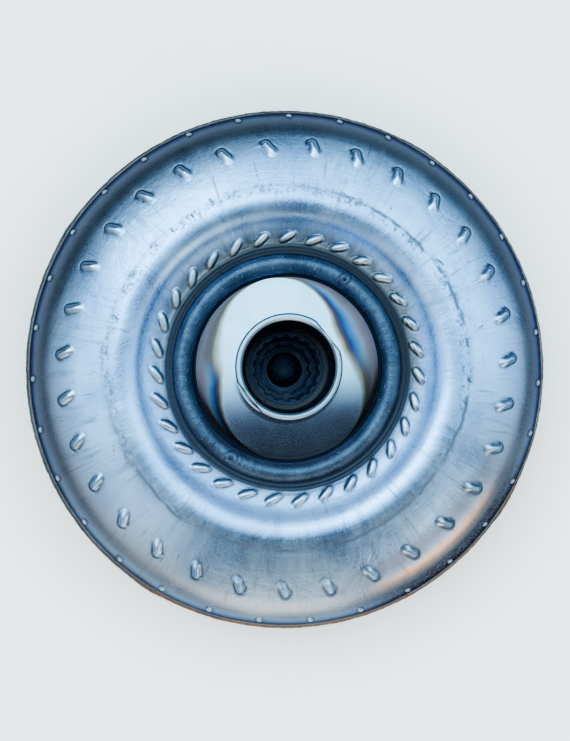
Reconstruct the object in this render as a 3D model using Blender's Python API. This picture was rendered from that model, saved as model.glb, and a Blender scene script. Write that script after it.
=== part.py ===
"""Lock-up torque converter, standing on the tips of its four drive studs with the pump hub up.

All sizes are millimetres, turned into metres where a mesh is made. The axis of rotation is Z, Z is
zero at the tips of the studs, and +X runs through the overlaps of the two outer welds.
"""

import math

import bmesh
import bpy
from mathutils import Matrix, Vector

MM = 0.001
FIT = 0.3  # clearance between pieces that seat on each other
WELD_IN = 1.0  # how far a feature reaches into the body it is joined to

# Segments round a turned piece
LARGE_STEPS = 40
MIDDLE_STEPS = 32
SMALL_STEPS = 20

# Overall layout along the axis, from the stud tips up
STUD_REACH = 17.5  # how far the drive studs stand out of their pads
PAD_T = 5.0
COVER_FACE_Z = STUD_REACH + PAD_T + FIT  # outer face of the front cover
RIM_TO_PARTING = 8.0  # from the skirt's top edge to the plane between turbine and impeller blades
RIM_TO_HUB_END = 85.0
COVER_R = 139.6
SKIRT_T = 3.0
RIM_CLEARANCE = 0.7  # between the skirt and the impeller shell's rim

# Impeller shell: pressed steel, described by the line of its outer surface
SHELL_T = 2.8
RIM_R = COVER_R - SKIRT_T - RIM_CLEARANCE
RIM_DEPTH = 8.0
RIM_STRAIGHT = 1.5
WALL_TAPER = 3.5
WALL_R = RIM_R - WALL_TAPER  # widest part of the bowl above the weld
BOWL_RADIUS = 28.0
BOWL_RISE = 8.5  # of the bowl arc's centre above the parting plane
CONE_SLOPE = 14.0  # degrees
CROWN_R = 82.5  # highest ring of the shell
CROWN_RADIUS = 16.0
NECK_SLOPE = 40.0  # steepest slope between the crown and the hub, degrees
NECK_RADIUS = 19.4
SEAT_WIDTH = 8.55  # flat ring that the hub is welded to

# Blade tabs pressed through the shell, three rings of them
BLADES = 31
INNER_TAB_INSET = 18.0
INNER_TAB_R = CROWN_R - INNER_TAB_INSET
INNER_TAB_LENGTH = 7.4  # measured radially, as is the next
OUTER_TAB_INSET = 23.9
OUTER_TAB_R = WALL_R - OUTER_TAB_INSET
OUTER_TAB_LENGTH = 10.2
RIM_TAB_SLOPE = 51.0  # place of the rim tabs on the bowl arc, degrees from the top
RIM_TAB_SPAN = 18.0  # degrees of the bowl arc
TAB_RISE = 1.3
TAB_EDGE = 1.5  # run of a tab's sloping end
TAB_HALF_WIDTH = 2.3
INNER_TAB_ANGLE = 8.575  # place of the first blade at the inner tabs, degrees
INNER_TO_OUTER_TURN = -18.25  # how far the blade line turns between the rings, degrees
OUTER_TO_RIM_TURN = 6.36
INNER_TAB_LEAN = -60.0  # lean of the blade line from the radius at each ring, degrees
OUTER_TAB_LEAN = 20.0

# Bladed wheels
BLADE_T = 1.2
BLADE_GAP = 0.5
CORE_TO_WALL = 20.4
CORE_TO_NECK = 3.2  # the core ring reaches this far inside the neck's outer end
CORE_HEIGHT = 17.5
CORE_T = 1.6
CORE_CLEARANCE = 2.0  # from the parting plane
TURBINE_BLADES = 29
TURBINE_BLADE_BEND = 80.0  # degrees; sets how far the blades' ends lean
TURBINE_SHELL_T = 2.6
TURBINE_INSET = 1.5  # the turbine's bowl is this much smaller in radius than the impeller's
BLADE_ROOT = 1.25  # the blades start this far outside the neck's inner end
BLADE_SHOULDER = 1.5  # and leave the cone this far outside the outer tabs' middle
BLADE_SHARES = (0.0, 12 / 49, 27 / 49, 1.0)  # places of the blade line's points between those two

# Front cover
COVER_T = 4.5
COVER_HUB_STEP = 1.5  # the middle stands this far out of the friction face
COVER_RIB_STEP = 1.0
COVER_HUB_Z = COVER_FACE_Z - COVER_HUB_STEP
COVER_RIB_Z = COVER_FACE_Z + COVER_RIB_STEP
COVER_CORNER = 20.0
LINING_INSET = 19.6  # from the cover's edge to the lining's
LINING_WIDTH = 28.0
LINING_MARGIN = 10.0  # from the friction face's inner edge to the lining's
RIB_WIDTH, RIB_SLOPE, HUB_SLOPE = 19.0, 8.0, 7.0  # the raised ring and the slopes on its two sides
LINING_OUTER_R = COVER_R - LINING_INSET
LINING_INNER_R = LINING_OUTER_R - LINING_WIDTH
FRICTION_FACE_R = LINING_INNER_R - LINING_MARGIN
RIB_OUTER_R = FRICTION_FACE_R - RIB_SLOPE
RIB_INNER_R = RIB_OUTER_R - RIB_WIDTH
HUB_FACE_R = RIB_INNER_R - HUB_SLOPE

# Pilot and its weld
PILOT_R = 20.0
PILOT_LENGTH = 8.0  # outside the cover
PILOT_NOSE_Z = COVER_HUB_Z - PILOT_LENGTH
PILOT_RECESS_R = 10.0
PILOT_NOSE_T = 5.0  # metal under the recess
PILOT_CHAMFER = 1.5
PILOT_WELD = 3.4

# Drive pads and studs
DRIVES = 4
DRIVE_INSET = 33.6  # from the cover's edge to a pad's middle
DRIVE_CIRCLE_R = COVER_R - DRIVE_INSET
FIRST_DRIVE_ANGLE = 45.0
PAD_R = 13.5
PAD_CHAMFER = 1.0
STUD_R = 4.9
STUD_CHAMFER = 1.2

# Pump hub
HUB_R = 23.8
HUB_BORE_R = 20.6
HUB_FLANGE_T = 8.4
HUB_FLANGE_DROP = 1.8  # the flange's face lies this far below the shell at the weld
HUB_FILLET = 5.0
HUB_CHAMFER = 1.0
DRIVE_FLAT_HALF = 22.2  # distance from the axis to each drive flat
DRIVE_FLAT_LENGTH = 20.0
DRIVE_FLAT_ANGLE = -19.5  # direction of the first flat, degrees
WELD_BEAD = 5.0
WELD_OFFSET = 0.2  # of the bead's middle from the edge of the shell's bore

# Where a bead ends on its own start: it swells there
CLOSURE_OVERLAPS = 4
OVERLAP_SWELL = 0.7
OVERLAP_REACH = 5.0  # degrees

# Thrust washers and bearings
WASHER_T = 2.0
WASHER_INNER_R, WASHER_OUTER_R = 15.0, 28.0
RACE_T = 1.0
RACE_INNER_R, RACE_OUTER_R = 21.6, 31.0
NEEDLES = 8
NEEDLE_R = 1.0
NEEDLE_INSET = 1.6  # from a needle's ends to the race's edges
CAGE_T = 1.0

# Turbine hub
SPLINE_BORE_R = 13.6
SPLINE_DEPTH = 1.0
TURBINE_SPLINES = 12
SPLINE_RELIEF = 1.0  # the bore past the splines is this much larger in radius
SPLINE_END = 2.0  # the splines stop this far from the hub's ends
BOSS_R = 29.8
DAMPER_SPLINES = 12
DAMPER_SPLINE_R = 31.4
DAMPER_SPLINE_DEPTH = 1.6
TURBINE_FLANGE_MARGIN = 9.75  # from the flange's edge to the turbine's neck
TURBINE_FLANGE_T = 4.6
TURBINE_SEAT_R = 34.2
TURBINE_SEAT_LIP = 1.0  # how far the seat stands above the turbine shell
REAR_BOSS_R = 31.0

# Lock-up clutch and damper
LOCKUP_TRAVEL = 0.9
DAMPER_ROOM = 8.35  # between the damper plate at the end of its travel and the turbine hub's flange
LINING_T = 1.5
PISTON_T = 3.5
PISTON_LIP_INSET = 14.6
PISTON_LIP_R = COVER_R - PISTON_LIP_INSET
PISTON_LIP_T = 2.6
PISTON_CORNER = 3.0
PISTON_LIP_RISE = 0.7  # above the retainer it is rolled over
SEAL_R = 27.9
SEAL_WIDTH = 1.6
SEAL_GROOVE_RISE = 1.2  # above the piston's underside, so that the seal stays in its bore
DAMPER_INSET = 17.0  # from the piston's lip to the springs' middle
DAMPER_R = PISTON_LIP_R - DAMPER_INSET
SPRINGS = 6
COIL_R = 5.0
WIRE_R = 1.3
COIL_TURNS = 4
SPRING_GAP = 12.0  # angle between neighbouring springs, degrees
PLATE_T = 3.6
PLATE_INSET, PLATE_ARM_REACH = 10.0, 7.0  # of the disc and its arms from the springs' middle
PLATE_DISC_R = DAMPER_R - PLATE_INSET
PLATE_ARM_R = DAMPER_R + PLATE_ARM_REACH
PLATE_ARM_ANGLE = 9.0
FINGER_ANGLE = 10.4
FINGER_INSET, FINGER_REACH = 7.0, 9.0  # from the springs' middle
FINGER_INNER_R, FINGER_OUTER_R = DAMPER_R - FINGER_INSET, DAMPER_R + FINGER_REACH
FINGER_GAP = 0.5  # between a finger and the plate
RETAINER_T = 1.6
RETAINER_INSET = 8.5
RETAINER_INNER_R = DAMPER_R - RETAINER_INSET

# Stator and one-way clutch
STATOR_VANES = 11
STATOR_HUB_R = 45.0
STATOR_BORE_R = 36.8
STATOR_SHROUD_T = 2.5
STATOR_TO_CORE = 4.5
STATOR_SHROUD_LENGTH = 26.0
VANE_LENGTH = 22.0
VANE_THICKNESS = 5.0
VANE_TURN = 22.0  # degrees round the axis from leading to trailing edge
CAP_T = 3.0
CAP_INNER_R = 19.0
CAP_OUTER_R = 40.0
RACE_BORE_R = 16.2
RACE_SPLINES = 18
INNER_RACE_R = 23.2
CAM_R = 30.4
CAM_RISE = 1.6
ROLLERS = 6
ROLLER_R = 3.2
FOLD_R = (25.2, 28.6)  # inner and outer folds of a roller's leaf spring
FOLD_T = 1.4  # leaf, measured radially
FOLD_START, FOLD_STEP = 21.2, 2.1  # degrees from the ramp's start


def material(name, colour, roughness, metallic):
    """One Principled material."""
    made = bpy.data.materials.new(name)
    made.use_nodes = True
    shader = made.node_tree.nodes["Principled BSDF"]
    shader.inputs["Base Color"].default_value = (*colour, 1.0)
    shader.inputs["Roughness"].default_value = roughness
    shader.inputs["Metallic"].default_value = metallic
    return made


def add_object(name, bm, finish):
    """The bmesh as a named object, smooth where its faces meet at a shallow angle."""
    mesh = bpy.data.meshes.new(name)
    bmesh.ops.recalc_face_normals(bm, faces=bm.faces)
    if bm.calc_volume(signed=True) < 0:
        bmesh.ops.reverse_faces(bm, faces=bm.faces)
    bm.to_mesh(mesh)
    bm.free()
    mesh.shade_smooth()
    mesh.set_sharp_from_angle(angle=math.radians(35))
    mesh.materials.append(finish)
    made = bpy.data.objects.new(name, mesh)
    bpy.context.scene.collection.objects.link(made)
    return made


def add_helper(name, bm):
    """A cutter or an insert for a Boolean, left out of the model itself."""
    made = add_object(name, bm, FINISHES["helper"])
    made.hide_render = True
    made.display_type = "WIRE"
    return made


def boolean(target, operation, other):
    """A live Boolean on target."""
    step = target.modifiers.new(f"{operation.lower()} {other.name}", "BOOLEAN")
    step.operation = operation
    step.solver = "EXACT"
    step.object = other


def turned(profile, steps, closed=True):
    """A bmesh of an outline of (radius, height) points spun round the axis.

    An outline that is not closed starts and ends on the axis.
    """
    bm = bmesh.new()
    corners = [bm.verts.new((r * MM, 0.0, z * MM)) for r, z in profile]
    edges = [bm.edges.new(pair) for pair in zip(corners, corners[1:])]
    if closed:
        edges.append(bm.edges.new((corners[-1], corners[0])))
    turn = {"cent": (0, 0, 0), "axis": (0, 0, 1), "angle": 2 * math.pi, "steps": steps}
    bmesh.ops.spin(bm, geom=corners + edges, use_merge=True, **turn)
    bmesh.ops.remove_doubles(bm, verts=bm.verts, dist=1e-7)
    return bm


def ring_profile(inner, outer, low, high):
    """The outline of a plain washer or sleeve."""
    return [(inner, low), (outer, low), (outer, high), (inner, high)]


def arc(centre_r, centre_z, radius, start, end, count):
    """Points on an arc. Angles are degrees from straight up, towards larger radius."""
    points = []
    for k in range(count):
        angle = math.radians(start + (end - start) * k / (count - 1))
        points.append((centre_r + radius * math.sin(angle), centre_z + radius * math.cos(angle)))
    return points


def polar(radius, degrees):
    return radius * math.cos(math.radians(degrees)), radius * math.sin(math.radians(degrees))


def extruded(outline, low, high, hole=None):
    """A bmesh of a flat outline of (x, y) points, given thickness. The hole is another outline."""
    bm = bmesh.new()
    loops = []
    for points in [outline] + ([hole] if hole else []):
        corners = [bm.verts.new((x * MM, y * MM, low * MM)) for x, y in points]
        loops += [bm.edges.new(pair) for pair in zip(corners, corners[1:] + corners[:1])]
    bmesh.ops.triangle_fill(bm, use_beauty=True, edges=loops)
    raised = bmesh.ops.extrude_face_region(bm, geom=bm.faces[:])
    moved = [v for v in raised["geom"] if isinstance(v, bmesh.types.BMVert)]
    bmesh.ops.translate(bm, verts=moved, vec=(0, 0, (high - low) * MM))
    return bm


def loft(sections):
    """A bmesh skinned over equal closed sections of (x, y, z) points, with both ends filled.

    The two halves of a section are split into triangles as mirror images, so that the two sides of a
    thin twisted blade keep parallel.
    """
    bm = bmesh.new()
    rows = [[bm.verts.new([c * MM for c in point]) for point in section] for section in sections]
    count = len(rows[0])
    for near, far in zip(rows, rows[1:]):
        for k in range(count):
            after = (k + 1) % count
            if k < count // 2:
                bm.faces.new((near[k], near[after], far[after]))
                bm.faces.new((near[k], far[after], far[k]))
            else:
                bm.faces.new((near[k], near[after], far[k]))
                bm.faces.new((near[after], far[after], far[k]))
    bm.faces.new(rows[0])
    bm.faces.new(rows[-1])
    return bm


def repeated(bm, count):
    """The bmesh, with evenly spaced copies round the axis."""
    first = bm.verts[:] + bm.edges[:] + bm.faces[:]
    for k in range(1, count):
        copy = bmesh.ops.duplicate(bm, geom=first)
        corners = [v for v in copy["geom"] if isinstance(v, bmesh.types.BMVert)]
        turn = Matrix.Rotation(2 * math.pi * k / count, 3, "Z")
        bmesh.ops.rotate(bm, verts=corners, cent=(0, 0, 0), matrix=turn)
    return bm


# Levels of the lock-up clutch and damper, from the cover up
TURBINE_FRONT_Z = COVER_HUB_Z + COVER_T + 2 * FIT + WASHER_T
FACE_INNER_Z = COVER_FACE_Z + COVER_T
LINING_Z = FACE_INNER_Z + FIT
PISTON_Z = LINING_Z + LINING_T + FIT
PISTON_TOP_Z = PISTON_Z + PISTON_T
SPRING_Z = PISTON_TOP_Z + FIT + COIL_R + WIRE_R
PLATE_Z = SPRING_Z - PLATE_T / 2
RETAINER_UNDER_Z = SPRING_Z + COIL_R + WIRE_R + FIT
PISTON_LIP_TOP_Z = RETAINER_UNDER_Z + RETAINER_T + PISTON_LIP_RISE
TURBINE_FLANGE_Z = PLATE_Z + PLATE_T + LOCKUP_TRAVEL + DAMPER_ROOM

# The line of the impeller shell's outer surface. Rises are above the parting plane, which lies
# where the turbine, the shell's mirror image, clears the damper.
CONE = math.radians(CONE_SLOPE)
NECK = math.radians(NECK_SLOPE)
BOWL_CENTRE_R = WALL_R - BOWL_RADIUS
CONE_OUTER_R = BOWL_CENTRE_R + BOWL_RADIUS * math.sin(CONE)
CONE_INNER_R = CROWN_R + CROWN_RADIUS * math.sin(CONE)
NECK_OUTER_R = CROWN_R - CROWN_RADIUS * math.sin(NECK)
NECK_INNER_R = NECK_OUTER_R - NECK_RADIUS * math.sin(NECK)
CONE_OUTER_RISE = BOWL_RISE + BOWL_RADIUS * math.cos(CONE)
CROWN_RISE = CONE_OUTER_RISE + (CONE_OUTER_R - CONE_INNER_R) * math.tan(CONE)
CROWN_CENTRE_RISE = CROWN_RISE - CROWN_RADIUS * math.cos(CONE)
NECK_RISE = CROWN_CENTRE_RISE + CROWN_RADIUS * math.cos(NECK)
SEAT_RISE = NECK_RISE - NECK_RADIUS * (1 - math.cos(NECK))
TURBINE_RISE = SEAT_RISE - SHELL_T + TURBINE_SHELL_T
PARTING_Z = TURBINE_FLANGE_Z + TURBINE_FLANGE_T + FIT + TURBINE_RISE
CLOSURE_Z = PARTING_Z - RIM_TO_PARTING  # top edge of the front cover's skirt
HUB_END_Z = CLOSURE_Z + RIM_TO_HUB_END
BOWL_Z = PARTING_Z + BOWL_RISE
CONE_OUTER_Z = PARTING_Z + CONE_OUTER_RISE
CROWN_CENTRE_Z = PARTING_Z + CROWN_CENTRE_RISE
WELD_SEAT_Z = PARTING_Z + SEAT_RISE
SHELL_BORE_R = NECK_INNER_R - SEAT_WIDTH
WELD_R = SHELL_BORE_R + WELD_OFFSET
CORE_INNER_R = NECK_OUTER_R - CORE_TO_NECK
CORE_OUTER_R = WALL_R - CORE_TO_WALL
TURBINE_FLANGE_R = NECK_INNER_R - TURBINE_FLANGE_MARGIN
STATOR_SHROUD_R = CORE_INNER_R - STATOR_TO_CORE - STATOR_SHROUD_T


def shell_point(radius):
    """Height and outward slope, in radians, of the shell's outer surface at a radius inside the wall."""
    if radius <= NECK_INNER_R:
        return WELD_SEAT_Z, 0.0
    if radius <= NECK_OUTER_R:
        slope = -math.asin((radius - NECK_INNER_R) / NECK_RADIUS)
        return WELD_SEAT_Z + NECK_RADIUS * (1 - math.cos(slope)), slope
    if radius <= CONE_INNER_R:
        slope = math.asin((radius - CROWN_R) / CROWN_RADIUS)
        return CROWN_CENTRE_Z + CROWN_RADIUS * math.cos(slope), slope
    if radius <= CONE_OUTER_R:
        slope = math.radians(CONE_SLOPE)
        return CONE_OUTER_Z + (CONE_OUTER_R - radius) * math.tan(slope), slope
    slope = math.asin((radius - BOWL_CENTRE_R) / BOWL_RADIUS)
    return BOWL_Z + BOWL_RADIUS * math.cos(slope), slope


def on_shell(radius, depth=0.0):
    """A point (radius, height) that lies depth under the shell's outer surface."""
    height, slope = shell_point(radius)
    return radius - depth * math.sin(slope), height - depth * math.cos(slope)


def on_bowl(slope, depth=0.0):
    """The same on the bowl arc, by its slope in degrees."""
    angle = math.radians(slope)
    radius = BOWL_RADIUS - depth
    return BOWL_CENTRE_R + radius * math.sin(angle), BOWL_Z + radius * math.cos(angle)


def blade_turn(radius):
    """Angle of the blade line at a radius, in degrees, from its angle at the inner tabs.

    Between the tab rings it is the cubic in the radius's logarithm that leans as the tabs do there.
    """
    span = math.log(OUTER_TAB_R / INNER_TAB_R)
    share = math.log(radius / INNER_TAB_R) / span
    start = math.degrees(math.tan(math.radians(INNER_TAB_LEAN))) * span
    end = math.degrees(math.tan(math.radians(OUTER_TAB_LEAN))) * span
    if share <= 0:
        return start * share
    if share >= 1:
        slope = math.degrees(math.asin(min(1.0, (radius - BOWL_CENTRE_R) / BOWL_RADIUS)))
        return bowl_turn(slope)
    bend = 3 * INNER_TO_OUTER_TURN - 2 * start - end
    twist = start + end - 2 * INNER_TO_OUTER_TURN
    return start * share + bend * share**2 + twist * share**3


def bowl_turn(slope):
    """Angle of the blade line on the bowl arc, by its slope in degrees."""
    tab_slope = math.degrees(math.asin((OUTER_TAB_R - BOWL_CENTRE_R) / BOWL_RADIUS))
    return INNER_TO_OUTER_TURN + OUTER_TO_RIM_TURN * (slope - tab_slope) / (RIM_TAB_SLOPE - tab_slope)


def tab_rows(middle, length):
    """Radii of a tab ring's rows from outside in, each with the share of the tab's rise there."""
    half = length / 2
    return [
        (middle + half, 0.0),
        (middle + half - TAB_EDGE, 1.0),
        (middle - half + TAB_EDGE, 1.0),
        (middle - half, 0.0),
    ]


def shell_rows():
    """Rows of the outer surface from the rim inwards: (radius, height, slope in radians, turn, rise)."""
    rows = [
        (RIM_R, CLOSURE_Z - RIM_DEPTH, math.pi / 2, bowl_turn(90), 0.0),
        (RIM_R, CLOSURE_Z + RIM_STRAIGHT, math.pi / 2, bowl_turn(90), 0.0),
    ]
    half = RIM_TAB_SPAN / 2
    marks = [(90, 0.0), (RIM_TAB_SLOPE + half, 0.0), (RIM_TAB_SLOPE, 1.0), (RIM_TAB_SLOPE - half, 0.0)]
    rows += [(*on_bowl(slope), math.radians(slope), bowl_turn(slope), rise) for slope, rise in marks]
    outer = tab_rows(OUTER_TAB_R, OUTER_TAB_LENGTH)
    inner = tab_rows(INNER_TAB_R, INNER_TAB_LENGTH)
    bends = (CONE_INNER_R, CROWN_R, NECK_OUTER_R)
    flat = [*outer, *[(r, 0.0) for r in bends if inner[0][0] < r < outer[-1][0]], *inner]
    for radius, rise in flat:
        height, slope = shell_point(radius)
        rows.append((radius, height, slope, blade_turn(radius), rise))
    end_turn = rows[-1][3]
    rows.append((SHELL_BORE_R, WELD_SEAT_Z, 0.0, end_turn, 0.0))
    return rows


def blade_line(depth):
    """Points (radius, height, turn) under the shell's outer surface along a blade, from the hub out."""
    start, end = NECK_INNER_R + BLADE_ROOT, OUTER_TAB_R + BLADE_SHOULDER
    radii = [start + (end - start) * share for share in BLADE_SHARES]
    line = [(*on_shell(radius, depth), blade_turn(radius)) for radius in radii]
    line += [(*on_bowl(slope, depth), bowl_turn(slope)) for slope in (46.0, 80.0)]
    return line


def impeller_shell():
    """The pressed shell: a turned sheet whose grid leans with the blades.

    Each tab is raised on rows and columns of its own.
    """
    bm = bmesh.new()
    pitch = 360 / BLADES

    def corner(radius, height, angle):
        return bm.verts.new((*[c * MM for c in polar(radius, angle)], height * MM))

    outer_rows = []
    for radius, height, slope, turn, rise in shell_rows():
        half_width = math.degrees(TAB_HALF_WIDTH / radius)
        lift = rise * TAB_RISE
        top = radius + lift * math.sin(slope), height + lift * math.cos(slope)
        row = []
        for blade in range(BLADES):
            angle = INNER_TAB_ANGLE + turn + blade * pitch
            ridge = [corner(*top, angle)] if rise else []
            start, end = (corner(radius, height, angle + side * half_width) for side in (-1, 1))
            row.append([start, *ridge, end])
        outer_rows.append(row)
    first_turn = blade_turn(INNER_TAB_R - INNER_TAB_LENGTH / 2)
    rim_heights = (CLOSURE_Z + RIM_STRAIGHT, CLOSURE_Z - RIM_DEPTH)
    inside = [(SHELL_BORE_R + FIT, WELD_SEAT_Z - SHELL_T, first_turn), *blade_line(SHELL_T)]
    inside += [(RIM_R - SHELL_T, height, bowl_turn(90)) for height in rim_heights]
    inner_rows = [
        [corner(radius, height, INNER_TAB_ANGLE + turn + blade * pitch) for blade in range(BLADES)]
        for radius, height, turn in inside
    ]
    for blade in range(BLADES):
        after = (blade + 1) % BLADES
        for near, far in zip(outer_rows, outer_rows[1:]):
            join_strips(bm, near[blade], far[blade])
            bm.faces.new((near[blade][-1], near[after][0], far[after][0], far[blade][-1]))
        for near, far in zip(inner_rows, inner_rows[1:]):
            bm.faces.new((near[blade], near[after], far[after], far[blade]))
        for outer, inner in ((outer_rows[-1], inner_rows[0]), (outer_rows[0], inner_rows[-1])):
            bm.faces.new((outer[blade][0], outer[blade][-1], inner[blade]))
            bm.faces.new((outer[blade][-1], inner[after], inner[blade]))
            bm.faces.new((outer[blade][-1], outer[after][0], inner[after]))
    return add_object("impeller_shell", bm, FINISHES["pressed steel"])


def join_strips(bm, near, far):
    """Faces between two short rows of two or three corners, side by side."""
    if len(near) == len(far):
        for k in range(len(near) - 1):
            bm.faces.new((near[k], near[k + 1], far[k + 1], far[k]))
        return
    pair, three = (near, far) if len(near) == 2 else (far, near)
    bm.faces.new((pair[0], pair[1], three[1]))
    bm.faces.new((pair[0], three[1], three[0]))
    bm.faces.new((pair[1], three[2], three[1]))


def core_line(count, side, shrink):
    """Points on one skin of a core ring, half of a flattened tube, from the hub out.

    Side is 1 for the impeller's ring and -1 for the turbine's.
    """
    points = []
    middle, half = (CORE_INNER_R + CORE_OUTER_R) / 2, (CORE_OUTER_R - CORE_INNER_R) / 2
    for k in range(count):
        angle = math.radians(-90 + 180 * k / (count - 1))
        radius = middle + (half - shrink) * math.sin(angle)
        rise = CORE_CLEARANCE + (CORE_HEIGHT - shrink - CORE_CLEARANCE) * math.cos(angle)
        points.append((radius, PARTING_Z + side * rise))
    return points


def bladed_wheel(name, blades, tips, turns, side, finish):
    """Blades that grow out of a core ring, as one skin.

    Each blade has its own rows of four corners, two on the ring and two at its tip, and the ring's inner
    skin has one more. Tips is the blades' outer line of (radius, height) points, each at its own turn in
    degrees.
    """
    bm = bmesh.new()
    roots = core_line(len(tips), side, 0.0)
    backs = core_line(len(tips), side, CORE_T)

    def corner(point, angle, shift=0.0):
        x, y = polar(point[0], angle + math.degrees(shift * BLADE_T / 2 / point[0]))
        return bm.verts.new((x * MM, y * MM, point[1] * MM))

    rows = []
    for k in range(blades):
        for root, tip, back, turn in zip(roots, tips, backs, turns):
            angle = 360 * k / blades + turn
            row = [corner(root, angle, -1), corner(tip, angle, -1)]
            row += [corner(tip, angle, 1), corner(root, angle, 1), corner(back, angle)]
            rows.append(row)
    count = len(tips)
    for k in range(blades):
        own = rows[k * count : (k + 1) * count]
        following = rows[(k + 1) % blades * count : ((k + 1) % blades + 1) * count]
        for near, far, after, beyond in zip(own, own[1:], following, following[1:]):
            quads = [(near[0], near[1], far[1], far[0]), (near[3], near[2], far[2], far[3])]
            quads += [(near[1], near[2], far[2], far[1])]
            quads += [(near[3], after[0], beyond[0], far[3]), (near[4], after[4], beyond[4], far[4])]
            for one, two, three, four in quads:
                bm.faces.new((one, two, three))
                bm.faces.new((one, three, four))
        for near, after in ((own[0], following[0]), (own[-1], following[-1])):
            bm.faces.new(near[:4])
            bm.faces.new((near[0], near[3], near[4]))
            bm.faces.new((near[3], after[0], after[4], near[4]))
    return add_object(name, bm, finish)


def impeller_blades():
    line = blade_line(SHELL_T + BLADE_GAP)
    tips = [(radius, height) for radius, height, _ in line]
    turns = [INNER_TAB_ANGLE + turn for _, _, turn in line]
    bladed_wheel("impeller_blade_wheel", BLADES, tips, turns, 1, FINISHES["blade steel"])


def turbine_line(depth):
    """Points of the turbine shell from the hub out.

    They are the impeller's, mirrored in the parting plane and drawn in.
    """
    start, end = NECK_INNER_R + BLADE_ROOT, OUTER_TAB_R
    points = [on_shell(start + (end - start) * share, depth) for share in BLADE_SHARES]
    points += [on_bowl(slope, depth) for slope in (46.0, 84.0)]
    inset = [0.0, 0.0, 0.0, TURBINE_INSET / 2, TURBINE_INSET, TURBINE_INSET]
    return [(r - i, 2 * PARTING_Z - z) for (r, z), i in zip(points, inset)]


TURBINE_INNER = turbine_line(SHELL_T)
TURBINE_OUTER = turbine_line(SHELL_T - TURBINE_SHELL_T)
TURBINE_SEAT_Z = TURBINE_OUTER[0][1]  # front face of the turbine shell's flat centre
TURBINE_TIP_Z = PARTING_Z - CORE_CLEARANCE


def turbine():
    tip_in = (TURBINE_INNER[-1][0], TURBINE_TIP_Z)
    tip_out = (TURBINE_INNER[-1][0] + TURBINE_SHELL_T, TURBINE_TIP_Z)
    bore = TURBINE_SEAT_R + FIT
    profile = [(bore, TURBINE_SEAT_Z), *TURBINE_OUTER[:-1], (tip_out[0], TURBINE_OUTER[-1][1])]
    profile += [tip_out, tip_in, *TURBINE_INNER[::-1], (bore, TURBINE_SEAT_Z + TURBINE_SHELL_T)]
    shell = turned(profile, LARGE_STEPS)
    add_object("turbine_shell", shell, FINISHES["pressed steel"])
    tips = [point for k, point in enumerate(turbine_line(SHELL_T + BLADE_GAP)) if k != 2]
    last = len(tips) - 1
    turns = [TURBINE_BLADE_BEND * (k / last - 0.55) ** 2 for k in range(len(tips))]
    bladed_wheel("turbine_blade_wheel", TURBINE_BLADES, tips, turns, -1, FINISHES["blade steel"])


def cover_line(offset):
    """The cover's outer surface from the pilot to the top of the skirt, moved outwards by offset."""
    corner = COVER_CORNER + offset
    centre_r, centre_z = COVER_R - COVER_CORNER, COVER_FACE_Z + COVER_CORNER
    line = [(HUB_FACE_R, COVER_HUB_Z - offset), (RIB_INNER_R, COVER_RIB_Z - offset)]
    line += [(RIB_OUTER_R, COVER_RIB_Z - offset), (FRICTION_FACE_R, COVER_FACE_Z - offset)]
    line += arc(centre_r, centre_z, corner, 180, 90, 4)
    return line


def front_cover():
    bore = PILOT_R + FIT
    outside = [(bore, COVER_HUB_Z), *cover_line(0.0), (COVER_R, CLOSURE_Z)]
    inside = [(bore, COVER_HUB_Z + COVER_T), *cover_line(-COVER_T)]
    skirt_inner = COVER_R - SKIRT_T
    inside[-1] = (skirt_inner, inside[-1][1])
    profile = outside + [(skirt_inner, CLOSURE_Z)] + inside[::-1]
    add_object("front_cover", turned(profile, LARGE_STEPS), FINISHES["pressed steel"])


def pilot():
    top = COVER_HUB_Z + COVER_T
    recess_z = PILOT_NOSE_Z + PILOT_NOSE_T
    drill_rise = PILOT_RECESS_R / 5  # the recess's floor is a shallow cone
    profile = [(0, recess_z), (PILOT_RECESS_R, recess_z + drill_rise), (PILOT_RECESS_R, top)]
    profile += [(PILOT_R, top), (PILOT_R, PILOT_NOSE_Z + PILOT_CHAMFER)]
    profile += [(PILOT_R - PILOT_CHAMFER, PILOT_NOSE_Z), (0, PILOT_NOSE_Z)]
    add_object("pilot", turned(profile, SMALL_STEPS, closed=False), FINISHES["machined steel"])
    low, inner = COVER_HUB_Z - FIT, PILOT_R + FIT
    weld = [(inner, low), (inner + PILOT_WELD, low), (inner + PILOT_WELD * 0.6, low - PILOT_WELD * 0.6)]
    weld.append((inner, low - PILOT_WELD))
    add_object("pilot_weld", turned(weld, SMALL_STEPS), FINISHES["weld metal"])


def drives():
    """Pads welded to the cover's face, each with the stud that the flexplate is fastened by."""
    hole, top = STUD_R + FIT, COVER_FACE_Z - FIT
    pad_profile = [(hole, STUD_REACH), (PAD_R - PAD_CHAMFER, STUD_REACH)]
    pad_profile += [(PAD_R, STUD_REACH + PAD_CHAMFER), (PAD_R, top), (hole, top)]
    stud_profile = [(0, 0), (STUD_R - STUD_CHAMFER, 0), (STUD_R, STUD_CHAMFER)]
    stud_profile += [(STUD_R, top), (0, top)]
    for k in range(DRIVES):
        x, y = polar(DRIVE_CIRCLE_R, FIRST_DRIVE_ANGLE + 360 * k / DRIVES)
        for name, profile, closed, steps, finish in (
            (f"drive_pad_{k + 1}", pad_profile, True, 16, "machined steel"),
            (f"drive_stud_{k + 1}", stud_profile, False, 12, "spring steel"),
        ):
            solid = turned(profile, steps, closed)
            bmesh.ops.translate(solid, verts=solid.verts, vec=(x * MM, y * MM, 0))
            add_object(name, solid, FINISHES[finish])


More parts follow.
